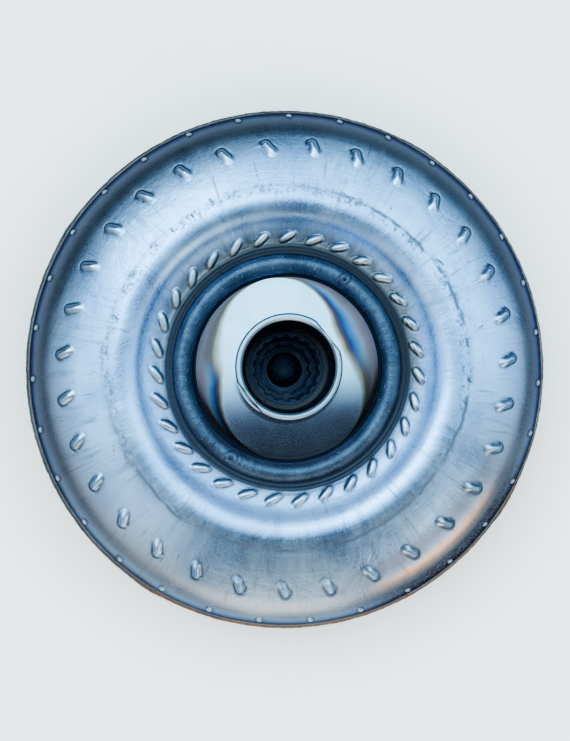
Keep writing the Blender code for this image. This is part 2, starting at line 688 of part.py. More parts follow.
def weld_ring(name, section, steps, overlaps, finish):
    """A bead all round the axis. Section gives its (radius, height) outline for a swell from 0 to 1."""
    bm = bmesh.new()
    rows = []
    for k in range(steps):
        angle = 360 * k / steps
        apart = (angle + 180 / overlaps) % (360 / overlaps) - 180 / overlaps
        swell = math.exp(-((apart / OVERLAP_REACH) ** 2))
        places = [(*polar(r, angle), z) for r, z in section(swell)]
        rows.append([bm.verts.new([c * MM for c in place]) for place in places])
    count = len(rows[0])
    for k, near in enumerate(rows):
        far = rows[(k + 1) % steps]
        for j in range(count):
            bm.faces.new((near[j], near[(j + 1) % count], far[(j + 1) % count], far[j]))
    return add_object(name, bm, FINISHES[finish])


def closure_section(swell):
    """The bead that joins the cover's skirt to the impeller."""
    inner, outer, low = RIM_R + FIT * 1.4, COVER_R - 0.3, CLOSURE_Z + FIT
    rise = OVERLAP_SWELL * swell
    crown = [(outer + rise, low + 1.0), (outer - 1.0 + rise, low + 2.6), (inner, low + 3.8)]
    return [(inner, low), (outer, low), *crown]


HUB_FLANGE_Z = WELD_SEAT_Z - HUB_FLANGE_DROP
HUB_FACE_Z = HUB_FLANGE_Z - HUB_FLANGE_T


def impeller_hub():
    flange_r = SHELL_BORE_R - FIT
    fillet = arc(HUB_R + HUB_FILLET, HUB_FLANGE_Z + HUB_FILLET, HUB_FILLET, 180, 270, 4)
    profile = [(HUB_BORE_R, HUB_FACE_Z), (flange_r, HUB_FACE_Z), (flange_r, HUB_FLANGE_Z), *fillet]
    profile += [(HUB_R, HUB_END_Z - HUB_CHAMFER), (HUB_R - HUB_CHAMFER, HUB_END_Z)]
    profile += [(HUB_BORE_R + HUB_CHAMFER, HUB_END_Z), (HUB_BORE_R, HUB_END_Z - HUB_CHAMFER)]
    hub = add_object("impeller_hub", turned(profile, LARGE_STEPS), FINISHES["polished steel"])
    low, high = HUB_END_Z - DRIVE_FLAT_LENGTH, HUB_END_Z + HUB_R / 4
    near, far = DRIVE_FLAT_HALF, DRIVE_FLAT_HALF + HUB_R / 2
    block = [(near, -HUB_R), (far, -HUB_R), (far, HUB_R), (near, HUB_R)]
    cutter = repeated(extruded(block, low, high), 2)
    turn = Matrix.Rotation(math.radians(DRIVE_FLAT_ANGLE), 3, "Z")
    bmesh.ops.rotate(cutter, verts=cutter.verts, cent=(0, 0, 0), matrix=turn)
    boolean(hub, "DIFFERENCE", add_helper("drive flats", cutter))


def hub_weld_section(swell):
    """The round bead that lies over the step between the shell's neck and the hub's flange."""
    seat, face = WELD_SEAT_Z + FIT, HUB_FLANGE_Z + FIT
    centre_z = face + 1.0
    start = -math.degrees(math.acos((face - centre_z) / WELD_BEAD))
    end = math.degrees(math.acos((seat - centre_z) / WELD_BEAD))
    bead = arc(WELD_R, centre_z, WELD_BEAD, start, end, 5)
    crown = [(r, z + OVERLAP_SWELL * swell * max(0.0, (z - seat) / WELD_BEAD)) for r, z in bead]
    step = SHELL_BORE_R - FIT
    return [*crown, (step, seat), (step, face)]


def thrust_pieces():
    """Washer and needle bearings that the turbine and the stator run on, with their clearances."""
    low = COVER_HUB_Z + COVER_T + FIT
    washer = ring_profile(WASHER_INNER_R, WASHER_OUTER_R, low, low + WASHER_T)
    add_object("turbine_thrust_washer", turned(washer, SMALL_STEPS), FINISHES["washer plastic"])
    for name, race_low, cage_middle in (
        ("front_bearing", TURBINE_REAR_Z + FIT, TURBINE_REAR_Z + 2 * FIT + RACE_T + NEEDLE_R),
        ("rear_bearing", HUB_FACE_Z - FIT - RACE_T, HUB_FACE_Z - 2 * FIT - RACE_T - NEEDLE_R),
    ):
        race = ring_profile(RACE_INNER_R, RACE_OUTER_R, race_low, race_low + RACE_T)
        add_object(f"{name}_race", turned(race, SMALL_STEPS), FINISHES["machined steel"])
        half = CAGE_T / 2
        plate = ring_profile(RACE_INNER_R, RACE_OUTER_R, cage_middle - half, cage_middle + half)
        cage = add_object(f"{name}_cage", turned(plate, SMALL_STEPS), FINISHES["machined steel"])
        square = [polar(NEEDLE_R, 45 + 90 * k) for k in range(4)]
        radii = (RACE_INNER_R + NEEDLE_INSET, RACE_OUTER_R - NEEDLE_INSET)
        ends = [[(x, y, cage_middle + z) for y, z in square] for x in radii]
        boolean(cage, "UNION", add_helper(f"{name} needles", repeated(loft(ends), NEEDLES)))


def splined_circle(radius, depth, teeth, phase=0.0):
    """Outline of a splined bore or shaft with two corners to a tooth and two to a space."""
    points = []
    pitch = 360 / teeth
    for k in range(teeth):
        for share, rise in ((0.0, 0.0), (0.35, 0.0), (0.5, depth), (0.85, depth)):
            points.append(polar(radius + rise, phase + (k + share) * pitch))
    return points


# Levels of the bearings and the stator, between the turbine hub and the pump hub
BEARING_STACK = 3 * FIT + RACE_T + 2 * NEEDLE_R
REAR_CAP_TOP_Z = HUB_FACE_Z - BEARING_STACK
FRONT_CAP_Z = 2 * PARTING_Z - REAR_CAP_TOP_Z
TURBINE_REAR_Z = FRONT_CAP_Z - BEARING_STACK
STATOR_Z = FRONT_CAP_Z + CAP_T + FIT
STATOR_TOP_Z = REAR_CAP_TOP_Z - CAP_T - FIT
STATOR_MIDDLE_Z = (STATOR_Z + STATOR_TOP_Z) / 2


def turbine_hub():
    """The hub the turbine shell is fixed to, with the seal's groove and the damper's spline."""
    groove_low = PISTON_Z + SEAL_GROOVE_RISE
    groove_high = groove_low + SEAL_WIDTH + 2 * FIT
    bore = SPLINE_BORE_R + SPLINE_DEPTH + SPLINE_RELIEF
    flange_top = TURBINE_SEAT_Z - FIT
    flange_low = flange_top - TURBINE_FLANGE_T
    seat_top = flange_top + TURBINE_SHELL_T + TURBINE_SEAT_LIP
    profile = [(bore, TURBINE_FRONT_Z), (BOSS_R, TURBINE_FRONT_Z), (BOSS_R, groove_low)]
    profile += [(SEAL_R - FIT, groove_low), (SEAL_R - FIT, groove_high), (BOSS_R, groove_high)]
    profile += [(BOSS_R, flange_low), (TURBINE_FLANGE_R, flange_low), (TURBINE_FLANGE_R, flange_top)]
    profile += [(TURBINE_SEAT_R, flange_top), (TURBINE_SEAT_R, seat_top), (REAR_BOSS_R, seat_top)]
    profile += [(REAR_BOSS_R, TURBINE_REAR_Z), (bore, TURBINE_REAR_Z)]
    hub = add_object("turbine_hub", turned(profile, SMALL_STEPS), FINISHES["machined steel"])
    sleeve_outer = [polar(bore + WELD_IN, 360 * k / 24) for k in range(24)]
    teeth = splined_circle(SPLINE_BORE_R, SPLINE_DEPTH, TURBINE_SPLINES)
    low, high = TURBINE_FRONT_Z + SPLINE_END, TURBINE_REAR_Z - SPLINE_END
    boolean(hub, "UNION", add_helper("turbine spline", extruded(sleeve_outer, low, high, teeth)))
    gear_inner = [polar(BOSS_R - WELD_IN, 360 * k / 24) for k in range(24)]
    teeth = splined_circle(DAMPER_SPLINE_R, DAMPER_SPLINE_DEPTH, DAMPER_SPLINES)
    low, high = PLATE_Z - WELD_IN, PLATE_Z + PLATE_T + LOCKUP_TRAVEL + WELD_IN
    boolean(hub, "UNION", add_helper("damper spline", extruded(teeth, low, high, gear_inner)))
    seal = ring_profile(SEAL_R, BOSS_R + FIT, groove_low + FIT, groove_low + FIT + SEAL_WIDTH)
    add_object("piston_seal", turned(seal, SMALL_STEPS), FINISHES["washer plastic"])


def sector(inner, outer, middle, width, count=2):
    """Outline of a block between two radii, with its sides on radii."""
    marks = [middle - width / 2 + width * k / (count - 1) for k in range(count)]
    return [polar(inner, a) for a in marks] + [polar(outer, a) for a in reversed(marks)]


def lockup_clutch():
    """Piston with its lining, the spring retainer on it, and the plate that the springs drive."""
    lining = ring_profile(LINING_INNER_R, LINING_OUTER_R, LINING_Z, LINING_Z + LINING_T)
    add_object("friction_lining", turned(lining, MIDDLE_STEPS), FINISHES["friction paper"])
    bore = BOSS_R + 2 * FIT
    lip_inner = PISTON_LIP_R - PISTON_LIP_T
    profile = [(bore, PISTON_Z), (PISTON_LIP_R - PISTON_CORNER, PISTON_Z)]
    profile += [(PISTON_LIP_R, PISTON_Z + PISTON_CORNER), (PISTON_LIP_R, PISTON_LIP_TOP_Z)]
    profile += [(lip_inner, PISTON_LIP_TOP_Z), (lip_inner, PISTON_TOP_Z), (bore, PISTON_TOP_Z)]
    piston = add_object("lockup_piston", turned(profile, MIDDLE_STEPS), FINISHES["pressed steel"])
    finger = sector(FINGER_INNER_R, FINGER_OUTER_R, 0, FINGER_ANGLE)
    lower = extruded(finger, PISTON_TOP_Z - WELD_IN, PLATE_Z - FINGER_GAP)
    boolean(piston, "UNION", add_helper("piston fingers", repeated(lower, SPRINGS)))
    top = RETAINER_UNDER_Z + RETAINER_T
    ring = ring_profile(RETAINER_INNER_R, lip_inner - FIT, RETAINER_UNDER_Z, top)
    retainer = add_object("spring_retainer", turned(ring, MIDDLE_STEPS), FINISHES["pressed steel"])
    upper = extruded(finger, PLATE_Z + PLATE_T + FINGER_GAP, RETAINER_UNDER_Z + WELD_IN)
    boolean(retainer, "UNION", add_helper("retainer fingers", repeated(upper, SPRINGS)))
    outline = []
    half = PLATE_ARM_ANGLE / 2
    between = 360 / SPRINGS - PLATE_ARM_ANGLE
    for k in range(SPRINGS):
        middle = 360 / SPRINGS * k
        outline += [polar(PLATE_DISC_R, middle - half), polar(PLATE_ARM_R, middle - half)]
        outline += [polar(PLATE_ARM_R, middle + half), polar(PLATE_DISC_R, middle + half)]
        outline += [polar(PLATE_DISC_R, middle + half + between * j / 4) for j in (1, 2, 3)]
    hole = splined_circle(DAMPER_SPLINE_R + FIT, DAMPER_SPLINE_DEPTH, DAMPER_SPLINES)
    plate = extruded(outline, PLATE_Z, PLATE_Z + PLATE_T, hole)
    add_object("damper_plate", plate, FINISHES["machined steel"])


def damper_springs():
    """Coil springs bent round the damper's circle: the wire is a helix carried along an arc."""
    steps, sides = 5 * COIL_TURNS, 4
    span = 360 / SPRINGS - SPRING_GAP - math.degrees(2 * WIRE_R / DAMPER_R)
    for number in range(SPRINGS):
        middle = 360 / SPRINGS * (number + 0.5)
        sections = []
        for k in range(steps + 1):
            along = middle - span / 2 + span * k / steps
            phase = 2 * math.pi * COIL_TURNS * k / steps
            x, y = polar(1.0, along)
            out, up = Vector((x, y, 0)), Vector((0, 0, 1))
            spoke = out * math.cos(phase) + up * math.sin(phase)
            middle_line = out * DAMPER_R + up * SPRING_Z + spoke * COIL_R
            forward = out.cross(up)
            round_wire = [polar(WIRE_R, 360 * s / sides) for s in range(sides)]
            sections.append([middle_line + spoke * a + forward * b for a, b in round_wire])
        add_object(f"damper_spring_{number + 1}", loft(sections), FINISHES["spring steel"])


def vane_section(radius):
    """Aerofoil section at a radius: round nose at the turbine side, thin tail turned round the axis."""
    stations = (0.0, 0.3, 1.0)
    half = (0.2, 0.5, 0.08)
    upper, lower = [], []
    for share, thick in zip(stations, half):
        height = STATOR_MIDDLE_Z - VANE_LENGTH / 2 + VANE_LENGTH * share
        middle = VANE_TURN * share**2
        offset = math.degrees(thick * VANE_THICKNESS / radius)
        upper.append((*polar(radius, middle + offset), height))
        lower.append((*polar(radius, middle - offset), height))
    return upper + lower[::-1]


def stator():
    hub = ring_profile(STATOR_BORE_R, STATOR_HUB_R, STATOR_Z, STATOR_TOP_Z)
    wheel = add_object("stator_wheel", turned(hub, STATOR_VANES * 2), FINISHES["cast aluminium"])
    half = STATOR_SHROUD_LENGTH / 2
    low, high = STATOR_MIDDLE_Z - half, STATOR_MIDDLE_Z + half
    shroud = ring_profile(STATOR_SHROUD_R, STATOR_SHROUD_R + STATOR_SHROUD_T, low, high)
    vanes = loft([vane_section(STATOR_HUB_R - WELD_IN), vane_section(STATOR_SHROUD_R + WELD_IN)])
    ring = add_helper("stator shroud", turned(shroud, STATOR_VANES * 2))
    boolean(ring, "UNION", add_helper("stator vanes", repeated(vanes, STATOR_VANES)))
    boolean(wheel, "UNION", ring)
    for name, low in (("stator_front_cap", FRONT_CAP_Z), ("stator_rear_cap", STATOR_TOP_Z + FIT)):
        cap = ring_profile(CAP_INNER_R, CAP_OUTER_R, low, low + CAP_T)
        add_object(name, turned(cap, SMALL_STEPS), FINISHES["washer plastic"])


def one_way_clutch():
    """Cam race in the stator, splined race inside it, and a roller with its spring on each ramp."""
    outer = [polar(STATOR_BORE_R - FIT * 1.5, 360 * k / 36) for k in range(36)]
    pitch = 360 / ROLLERS
    cam = []
    for k in range(ROLLERS):
        marks = ((0.0, CAM_R), (0.3, CAM_R), (0.34, CAM_R + CAM_RISE), (0.7, CAM_R + 0.3), (0.85, CAM_R))
        cam += [polar(radius, (k + share) * pitch) for share, radius in marks]
    race = extruded(outer, STATOR_Z + 1, STATOR_TOP_Z - 1, cam)
    add_object("clutch_cam_race", race, FINISHES["machined steel"])
    inner = [polar(INNER_RACE_R, 360 * k / 32) for k in range(32)]
    teeth = splined_circle(RACE_BORE_R, SPLINE_DEPTH, RACE_SPLINES)
    race = extruded(inner, STATOR_Z + FIT, STATOR_TOP_Z - FIT, teeth)
    add_object("clutch_inner_race", race, FINISHES["machined steel"])
    centre_r = (INNER_RACE_R + CAM_R) / 2 + 0.1
    low, high = STATOR_Z + 3, STATOR_TOP_Z - 3
    for k in range(ROLLERS):
        x, y = polar(centre_r, (k + 0.62) * pitch)
        circle = [(x + a, y + b) for a, b in (polar(ROLLER_R, 36 * s) for s in range(10))]
        roller = extruded(circle, low, high)
        add_object(f"clutch_roller_{k + 1}", roller, FINISHES["machined steel"])
        fold = []
        for lift, marks in ((0.0, range(5)), (FOLD_T, range(4, -1, -1))):
            fold += [polar(FOLD_R[s % 2] + lift, k * pitch + FOLD_START + FOLD_STEP * s) for s in marks]
        spring = extruded(fold, low + 4, high - 4)
        add_object(f"clutch_spring_{k + 1}", spring, FINISHES["spring steel"])


for old in list(bpy.data.objects):
    bpy.data.objects.remove(old)

FINISHES = {
    "pressed steel": material("pressed steel", (0.40, 0.46, 0.53), 0.42, 0.9),
    "blade steel": material("blade steel", (0.36, 0.38, 0.40), 0.5, 0.9),
    "polished steel": material("polished steel", (0.60, 0.66, 0.70), 0.18, 1.0),
    "machined steel": material("machined steel", (0.50, 0.52, 0.54), 0.3, 1.0),
    "blued weld": material("blued weld", (0.06, 0.14, 0.22), 0.45, 0.8),
    "weld metal": material("weld metal", (0.22, 0.22, 0.23), 0.5, 0.9),
    "spring steel": material("spring steel", (0.20, 0.21, 0.23), 0.4, 0.9),
    "cast aluminium": material("cast aluminium", (0.62, 0.63, 0.64), 0.5, 0.9),
    "friction paper": material("friction paper", (0.28, 0.22, 0.15), 0.9, 0.0),
    "washer plastic": material("washer plastic", (0.10, 0.09, 0.08), 0.6, 0.0),
    "helper": material("helper", (1.0, 0.2, 0.2), 0.5, 0.0),
}

front_cover()
pilot()
drives()
weld_ring("closure_weld", closure_section, LARGE_STEPS, CLOSURE_OVERLAPS, "weld metal")
impeller_shell()
impeller_blades()
impeller_hub()
weld_ring("hub_weld", hub_weld_section, LARGE_STEPS, 2, "blued weld")
thrust_pieces()
turbine()
turbine_hub()
lockup_clutch()
damper_springs()
stator()
one_way_clutch()
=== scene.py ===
"""Lock-up torque converter: the looks.

The shell's skin, the welds, the pump hub, the front cover, the pilot and the drive pads are fine surfaces
worked out on grids, in millimetres, and every finish is procedural. The axis is Z and the pump hub is up.
"""

import math

import bmesh
import bpy
import numpy as np
from mathutils import Matrix, Vector


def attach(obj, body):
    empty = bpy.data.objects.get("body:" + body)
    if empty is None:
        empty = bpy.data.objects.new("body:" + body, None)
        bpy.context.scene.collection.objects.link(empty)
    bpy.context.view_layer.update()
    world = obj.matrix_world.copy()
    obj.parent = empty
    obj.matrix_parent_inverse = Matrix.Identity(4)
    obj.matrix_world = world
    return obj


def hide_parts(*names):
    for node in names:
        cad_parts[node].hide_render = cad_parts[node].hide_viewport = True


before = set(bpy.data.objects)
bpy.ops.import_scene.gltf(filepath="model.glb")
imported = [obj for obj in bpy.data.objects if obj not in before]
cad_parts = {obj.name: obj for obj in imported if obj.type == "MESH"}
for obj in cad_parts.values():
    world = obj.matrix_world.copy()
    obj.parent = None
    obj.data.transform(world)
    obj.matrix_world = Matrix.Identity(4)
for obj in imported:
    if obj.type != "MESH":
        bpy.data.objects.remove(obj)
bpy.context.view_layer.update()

MM = 0.001
RIM_Z = 81.2956  # plane of the weld that closes the converter; heights above it are counted from here
IMAGE_TURN = 58.0  # degrees from the picture's right-hand direction to +X


def radians(degrees):
    return np.radians(degrees)


# Camera

CAMERA_DISTANCE = 0.460  # metres from the axis at the rim's plane


def make_camera():
    """Straight above the hub, a little to the lower left of the axis."""
    right = Vector((math.cos(radians(-IMAGE_TURN)), math.sin(radians(-IMAGE_TURN)), 0.0))
    up = Vector((-right.y, right.x, 0.0))
    centre = Vector((0.0, 0.0, RIM_Z * MM))
    place = centre + CAMERA_DISTANCE * (-0.01668 * right - 0.01045 * up + Vector((0, 0, 1))).normalized()
    aim = centre - 0.00039 * right - 0.00090 * up
    back = (place - aim).normalized()
    side = up.cross(back).normalized()
    data = bpy.data.cameras.new("camera")
    data.lens, data.sensor_width, data.clip_start = 41.43, 36.0, 0.01
    camera = bpy.data.objects.new("camera", data)
    camera.matrix_world = Matrix((side, back.cross(side), back)).transposed().to_4x4()
    camera.location = place
    bpy.context.scene.collection.objects.link(camera)
    bpy.context.scene.camera = camera
    return right, up


IMAGE_RIGHT, IMAGE_UP = make_camera()


# Shader expressions

class Socket:
    """A shader value. An expression on it adds its Math nodes."""

    def __init__(self, nodes, link):
        self.nodes, self.link = nodes, link

    def math(self, operation, *others):
        return self.nodes.node("ShaderNodeMath", {"operation": operation}, dict(enumerate((self, *others))))

    def __add__(self, other): return self.math("ADD", other)
    def __sub__(self, other): return self.math("SUBTRACT", other)
    def __mul__(self, other): return self.math("MULTIPLY", other)
    def __truediv__(self, other): return self.math("DIVIDE", other)
    def __rsub__(self, other): return (self * -1.0) + other
    __radd__, __rmul__ = __add__, __mul__


class Nodes:
    """The nodes of a material or of the sky."""

    def __init__(self, tree):
        self.tree = tree

    def node(self, kind, settings=None, sockets=None, out=0):
        """A new node: its settings first, then what its sockets hold or link to."""
        made = self.tree.nodes.new(kind)
        for key, value in (settings or {}).items():
            if key == "stops":
                ramp = made.color_ramp.elements
                while len(ramp) < len(value):
                    ramp.new(0.5)
                for element, (position, colour) in zip(ramp, value):
                    element.position, element.color = position, (*colour, 1.0)
            else:
                setattr(made, key, value)
        for key, value in (sockets or {}).items():
            self.put(made.inputs[key], value)
        return Socket(self, made.outputs[out])

    def put(self, target, value):
        if isinstance(value, Socket):
            self.tree.links.new(value.link, target)
        elif target.type == "RGBA" and len(value) == 3:
            target.default_value = (*value, 1.0)
        else:
            target.default_value = value

    def split(self, vector):
        made = self.node("ShaderNodeSeparateXYZ", None, {0: vector}).link.node
        return [Socket(self, made.outputs[k]) for k in range(3)]

    def vector(self, x, y, z):
        return self.node("ShaderNodeCombineXYZ", None, {0: x, 1: y, 2: z})

    def mix(self, factor, one, two, mode="MIX"):
        return self.node("ShaderNodeMix", {"data_type": "RGBA", "blend_type": mode},
                         {0: factor, 6: one, 7: two}, out=2)

    def step(self, value, low, high, start=0.0, end=1.0):
        """Smooth step of value from low to high."""
        return self.node("ShaderNodeMapRange", {"interpolation_type": "SMOOTHSTEP"},
                         {0: value, 1: low, 2: high, 3: start, 4: end})

    def band(self, value, low, high, soft):
        """1 between low and high, with soft edges."""
        return self.step(value, low - soft, low + soft) * self.step(value, high + soft, high - soft)


class Look(Nodes):
    """A procedural finish on Object coordinates, in millimetres."""

    def __init__(self, name, **constants):
        self.material = bpy.data.materials.new(name)
        self.material.use_nodes = True
        super().__init__(self.material.node_tree)
        self.shader = self.tree.nodes["Principled BSDF"]
        for key, value in constants.items():
            self.put(self.shader.inputs[key.replace("_", " ")], value)
        self.place = self.node("ShaderNodeVectorMath", {"operation": "SCALE"}, {
            0: self.node("ShaderNodeTexCoord", out="Object"), "Scale": 1 / MM})
        self.x, self.y, self.z = self.split(self.place)
        self.radius = (self.x * self.x + self.y * self.y).math("SQRT").math("MAXIMUM", 0.01)

    def noise(self, scale, detail=3.0, roughness=0.5, place=None, distortion=0.0):
        """Fractal noise from 0 to 1; scale is in waves per millimetre."""
        return self.node("ShaderNodeTexNoise", None, {
            "Vector": place or self.place, "Scale": scale, "Detail": detail,
            "Roughness": roughness, "Distortion": distortion})

    def along(self, image_angle):
        """Distance from the axis along a direction of the picture."""
        angle = radians(image_angle - IMAGE_TURN)
        return self.x * math.cos(angle) + self.y * math.sin(angle)

    def towards(self, image_angle, near, far):
        """1 within near degrees of a direction in the picture, 0 past far degrees."""
        aimed = self.along(image_angle) / self.radius
        return self.step(aimed, math.cos(radians(far)), math.cos(radians(near)))

    def around(self, round_scale, radial_scale, lift=0.0):
        """Coordinates for streaks: waves per radian round the axis and per millimetre of radius."""
        scale = self.node("ShaderNodeMath", {"operation": "DIVIDE"}, {0: round_scale, 1: self.radius})
        return self.vector(self.x * scale, self.y * scale, self.radius * radial_scale + lift)

    def spots(self, places):
        """Soft oval marks: picture angle, radius, half length, half width, degrees of lean from the radius."""
        marks = None
        for image_angle, radius, length, width, lean in places:
            angle = radians(image_angle - IMAGE_TURN)
            x, y = self.x - radius * math.cos(angle), self.y - radius * math.sin(angle)
            turn = angle + radians(lean)
            u = (x * math.cos(turn) + y * math.sin(turn)) / length
            v = (y * math.cos(turn) - x * math.sin(turn)) / width
            mark = self.step(u * u + v * v, 1.0, 0.25)
            marks = mark if marks is None else marks.math("MAXIMUM", mark)
        return marks

    def bump(self, height):
        """Height is in millimetres."""
        self.put(self.shader.inputs["Normal"],
                 self.node("ShaderNodeBump", None, {"Height": height, "Strength": 1.0, "Distance": MM}))

    def colour(self, value):
        self.put(self.shader.inputs["Base Color"], value)

    def rough(self, value):
        self.put(self.shader.inputs["Roughness"], value.math("MAXIMUM", 0.08).math("MINIMUM", 0.9))


# Finishes

NICKS = (  # as spots() reads them
    (34.6, 90.0, 2.9, 0.6, -76.0), (71.0, 88.0, 3.0, 0.55, 72.0), (114.6, 88.6, 1.9, 0.8, 12.0),
    (122.0, 86.4, 1.4, 0.7, 16.0), (130.0, 86.4, 1.8, 0.8, 10.0), (163.6, 86.0, 2.6, 0.7, -25.0),
    (280.0, 84.0, 1.0, 0.9, 0.0), (349.0, 87.0, 2.4, 0.5, -33.0), (356.0, 88.0, 2.2, 0.5, -33.0),
    (57.0, 92.0, 0.8, 0.5, 0.0), (99.0, 97.0, 7.0, 0.22, 5.0), (12.0, 96.0, 2.0, 0.35, 20.0),
    (205.0, 92.0, 2.6, 0.35, 65.0), (300.0, 99.0, 2.4, 0.35, 35.0),
)


def shell_finish():
    """Pressed blue-grey steel: speckled satin with drip stains, scorched by the weld, scuffed on the crown.

    Low is the picture's lower side and warm its lower right. The rim, the lip, the crown towards the bottom
    and the bowl's upper left are darkened as painted shade, and a gold glint at the lower right is painted as
    a highlight.
    """
    look = Look("shell steel", Metallic=1.0, Specular_Tint=(0.18, 0.19, 0.21))
    r = look.radius
    crease = look.node("ShaderNodeAttribute", {"attribute_name": "crease"}, out="Fac")
    cloud = look.noise(0.03, 4.0, 0.55, distortion=0.8)
    fine = look.noise(0.9, 3.0, 0.65)
    grain = look.noise(2.6, 2.0, 0.6)
    streaks = look.noise(1.0, 4.0, 0.6, look.around(24.0, 0.04), distortion=0.5)
    rings = look.noise(1.0, 2.0, 0.5, look.around(2.5, 1.1))
    colour = look.mix(look.step(cloud, 0.30, 0.70), (0.15, 0.35, 0.74), (0.27, 0.57, 1.00))
    colour = look.mix(look.step(grain, 0.35, 0.70) * 0.35, colour, (0.14, 0.31, 0.58))
    stain = look.step(streaks, 0.55, 0.72) * look.step(cloud, 0.38, 0.56)
    colour = look.mix(stain * 0.70, colour, (0.10, 0.18, 0.28))
    drips = look.noise(1.0, 2.0, 0.5, look.around(52.0, 0.018, 7.0), distortion=0.3)
    lines = look.band(drips, 0.492, 0.508, 0.005) * look.step(look.noise(0.04, 2.0, 0.5), 0.46, 0.56)
    colour = look.mix(lines * look.step(r, 72.0, 80.0) * 0.75, colour, (0.07, 0.11, 0.16))
    colour = look.mix(look.step(fine, 0.62, 0.72) * 0.30, colour, (0.50, 0.74, 0.98))
    specks = look.step(look.noise(0.7, 2.0, 0.7), 0.68, 0.74)
    colour = look.mix(specks * 0.50, colour, (0.05, 0.08, 0.12))
    # Painted shade: the rim and its lip are darker, the rim less so and the lip browner towards the bottom as
    # painted light, and the bowl darker at the upper left. The weld left a brown shadow and a scorched ring
    # round the hub
    low = look.towards(276.0, 30.0, 85.0)
    shoulder = look.step(look.z - RIM_Z, 17.0, 25.0)
    painted_shade_upper_left = look.towards(148.0, 28.0, 66.0) * look.step(r + (streaks - 0.5) * 8.0, 98.0, 112.0)
    colour = look.mix(painted_shade_upper_left * 0.48, colour, (0.075, 0.115, 0.18))
    rim = look.step(r + (cloud - 0.5) * 6.0, 99.0, 123.0) * shoulder * (0.95 - low * 0.22)
    colour = look.mix(rim, colour, look.mix(low, (0.10, 0.115, 0.155), (0.18, 0.195, 0.21)))
    lip = look.step(r + (cloud - 0.5) * 4.0, 124.0, 131.0) * shoulder * 0.97
    colour = look.mix(lip, colour, look.mix(low, (0.036, 0.042, 0.054), (0.075, 0.068, 0.064)))
    tan = look.step(r + (streaks - 0.5) * 9.0, 72.0, 62.5)
    tan = tan * look.step(look.towards(75.0, 20.0, 120.0), -0.9, 0.8)
    colour = look.mix(tan * 0.94, colour, look.mix(fine, (0.030, 0.032, 0.034), (0.13, 0.125, 0.115)))
    scorch = look.step(r + (cloud - 0.5) * 2.0, 62.4, 59.4)
    colour = look.mix(scorch * 0.96, colour, (0.009, 0.013, 0.020))
    # A broken dark line follows the crown, partly a scuff and partly painted shade, fainter at the upper left,
    # with blotches beside it
    smudge = look.noise(1.0, 4.0, 0.7, look.around(7.0, 0.20))
    grit = look.step(look.noise(0.5, 3.0, 0.7), 0.40, 0.58)
    track = r + (look.noise(1.0, 3.0, 0.6, look.around(3.5, 0.02)) - 0.5) * 7.0
    breaks = look.step(look.noise(1.0, 3.0, 0.6, look.around(9.0, 0.12)), 0.36, 0.50)
    line = look.band(track, 86.6, 88.4, 0.6) * breaks * (1.0 - look.towards(140.0, 35.0, 80.0) * 0.8)
    blotch = look.band(track, 83.6, 89.2, 1.4) * look.step(smudge, 0.42, 0.56) * grit
    colour = look.mix(line.math("MAXIMUM", blotch * 0.90) * 0.92, colour, (0.050, 0.085, 0.135))
    scuff_and_painted_shade = line.math("MAXIMUM", blotch)
    waves = look.noise(1.0, 3.0, 0.55, look.around(1.6, 0.16, 3.0), distortion=0.4)
    waves = look.band(waves, 0.494, 0.506, 0.006) * look.band(r, 84.0, 97.0, 3.0)
    waves = waves * look.towards(15.0, 12.0, 38.0)
    colour = look.mix(waves * 0.60, colour, (0.055, 0.095, 0.15))
    # Painted shade: the crown is darker towards the bottom, and the bowl beyond it towards the lower right
    crown = look.towards(262.0, 50.0, 105.0) * look.band(r, 80.0, 90.0, 4.0)
    crown = crown.math("MAXIMUM", look.towards(295.0, 25.0, 75.0) * look.band(r, 90.0, 110.0, 4.0) * 0.6)
    colour = look.mix(crown * (0.28 + look.step(streaks, 0.35, 0.65) * 0.45), colour, (0.10, 0.145, 0.215))
    # Lower right: darker just inside the glint, the gold glint painted as a highlight, and a singed band
    # outside it
    warm = look.towards(313.0, 3.0, 32.0)
    colour = look.mix(warm * look.band(r, 104.0, 113.0, 4.0) * 0.70, colour, (0.08, 0.095, 0.13))
    glint = look.towards(311.0, 3.0, 23.0) * look.band(r + (cloud - 0.5) * 4.0, 115.0, 118.5, 3.0)
    colour = look.mix(glint * 0.90, colour, (0.62, 0.37, 0.22))
    singed = warm * shoulder * look.step(r + (cloud - 0.5) * 3.0, 119.5, 123.0)
    singed = singed * (0.55 + look.step(fine, 0.40, 0.60) * 0.45)
    colour = look.mix(singed, colour, (0.05, 0.038, 0.032))
    rust = look.step(r, 130.0, 134.5) * look.step(look.noise(0.35, 4.0, 0.65), 0.40, 0.60)
    colour = look.mix(rust * 0.6, colour, (0.15, 0.10, 0.075))
    nicks = look.spots(NICKS) * look.step(look.noise(1.4, 2.0), 0.36, 0.52)
    colour = look.mix(nicks * 0.80, colour, (0.03, 0.05, 0.07))
    # The crease attribute paints shade into the tabs' creases and a highlight onto their tops
    colour = look.mix(crease, colour, (0.020, 0.032, 0.045))
    look.colour(look.mix(crease * -1.0, colour, (0.52, 0.76, 0.98)))
    rough = 0.30 + (cloud - 0.5) * 0.20 + (rings - 0.5) * 0.08 + (fine - 0.5) * 0.18
    look.rough(rough + stain * 0.12 + scorch * 0.15 + tan * 0.08 + scuff_and_painted_shade * 0.15)
    ridges = (r * 3.6 + (cloud - 0.5) * 2.0).math("SINE") * scorch
    look.bump(grain * 0.02 + fine * 0.06 + rings * 0.03 + cloud * 0.5 - nicks * 0.12 + ridges * 0.07)
    return look.material


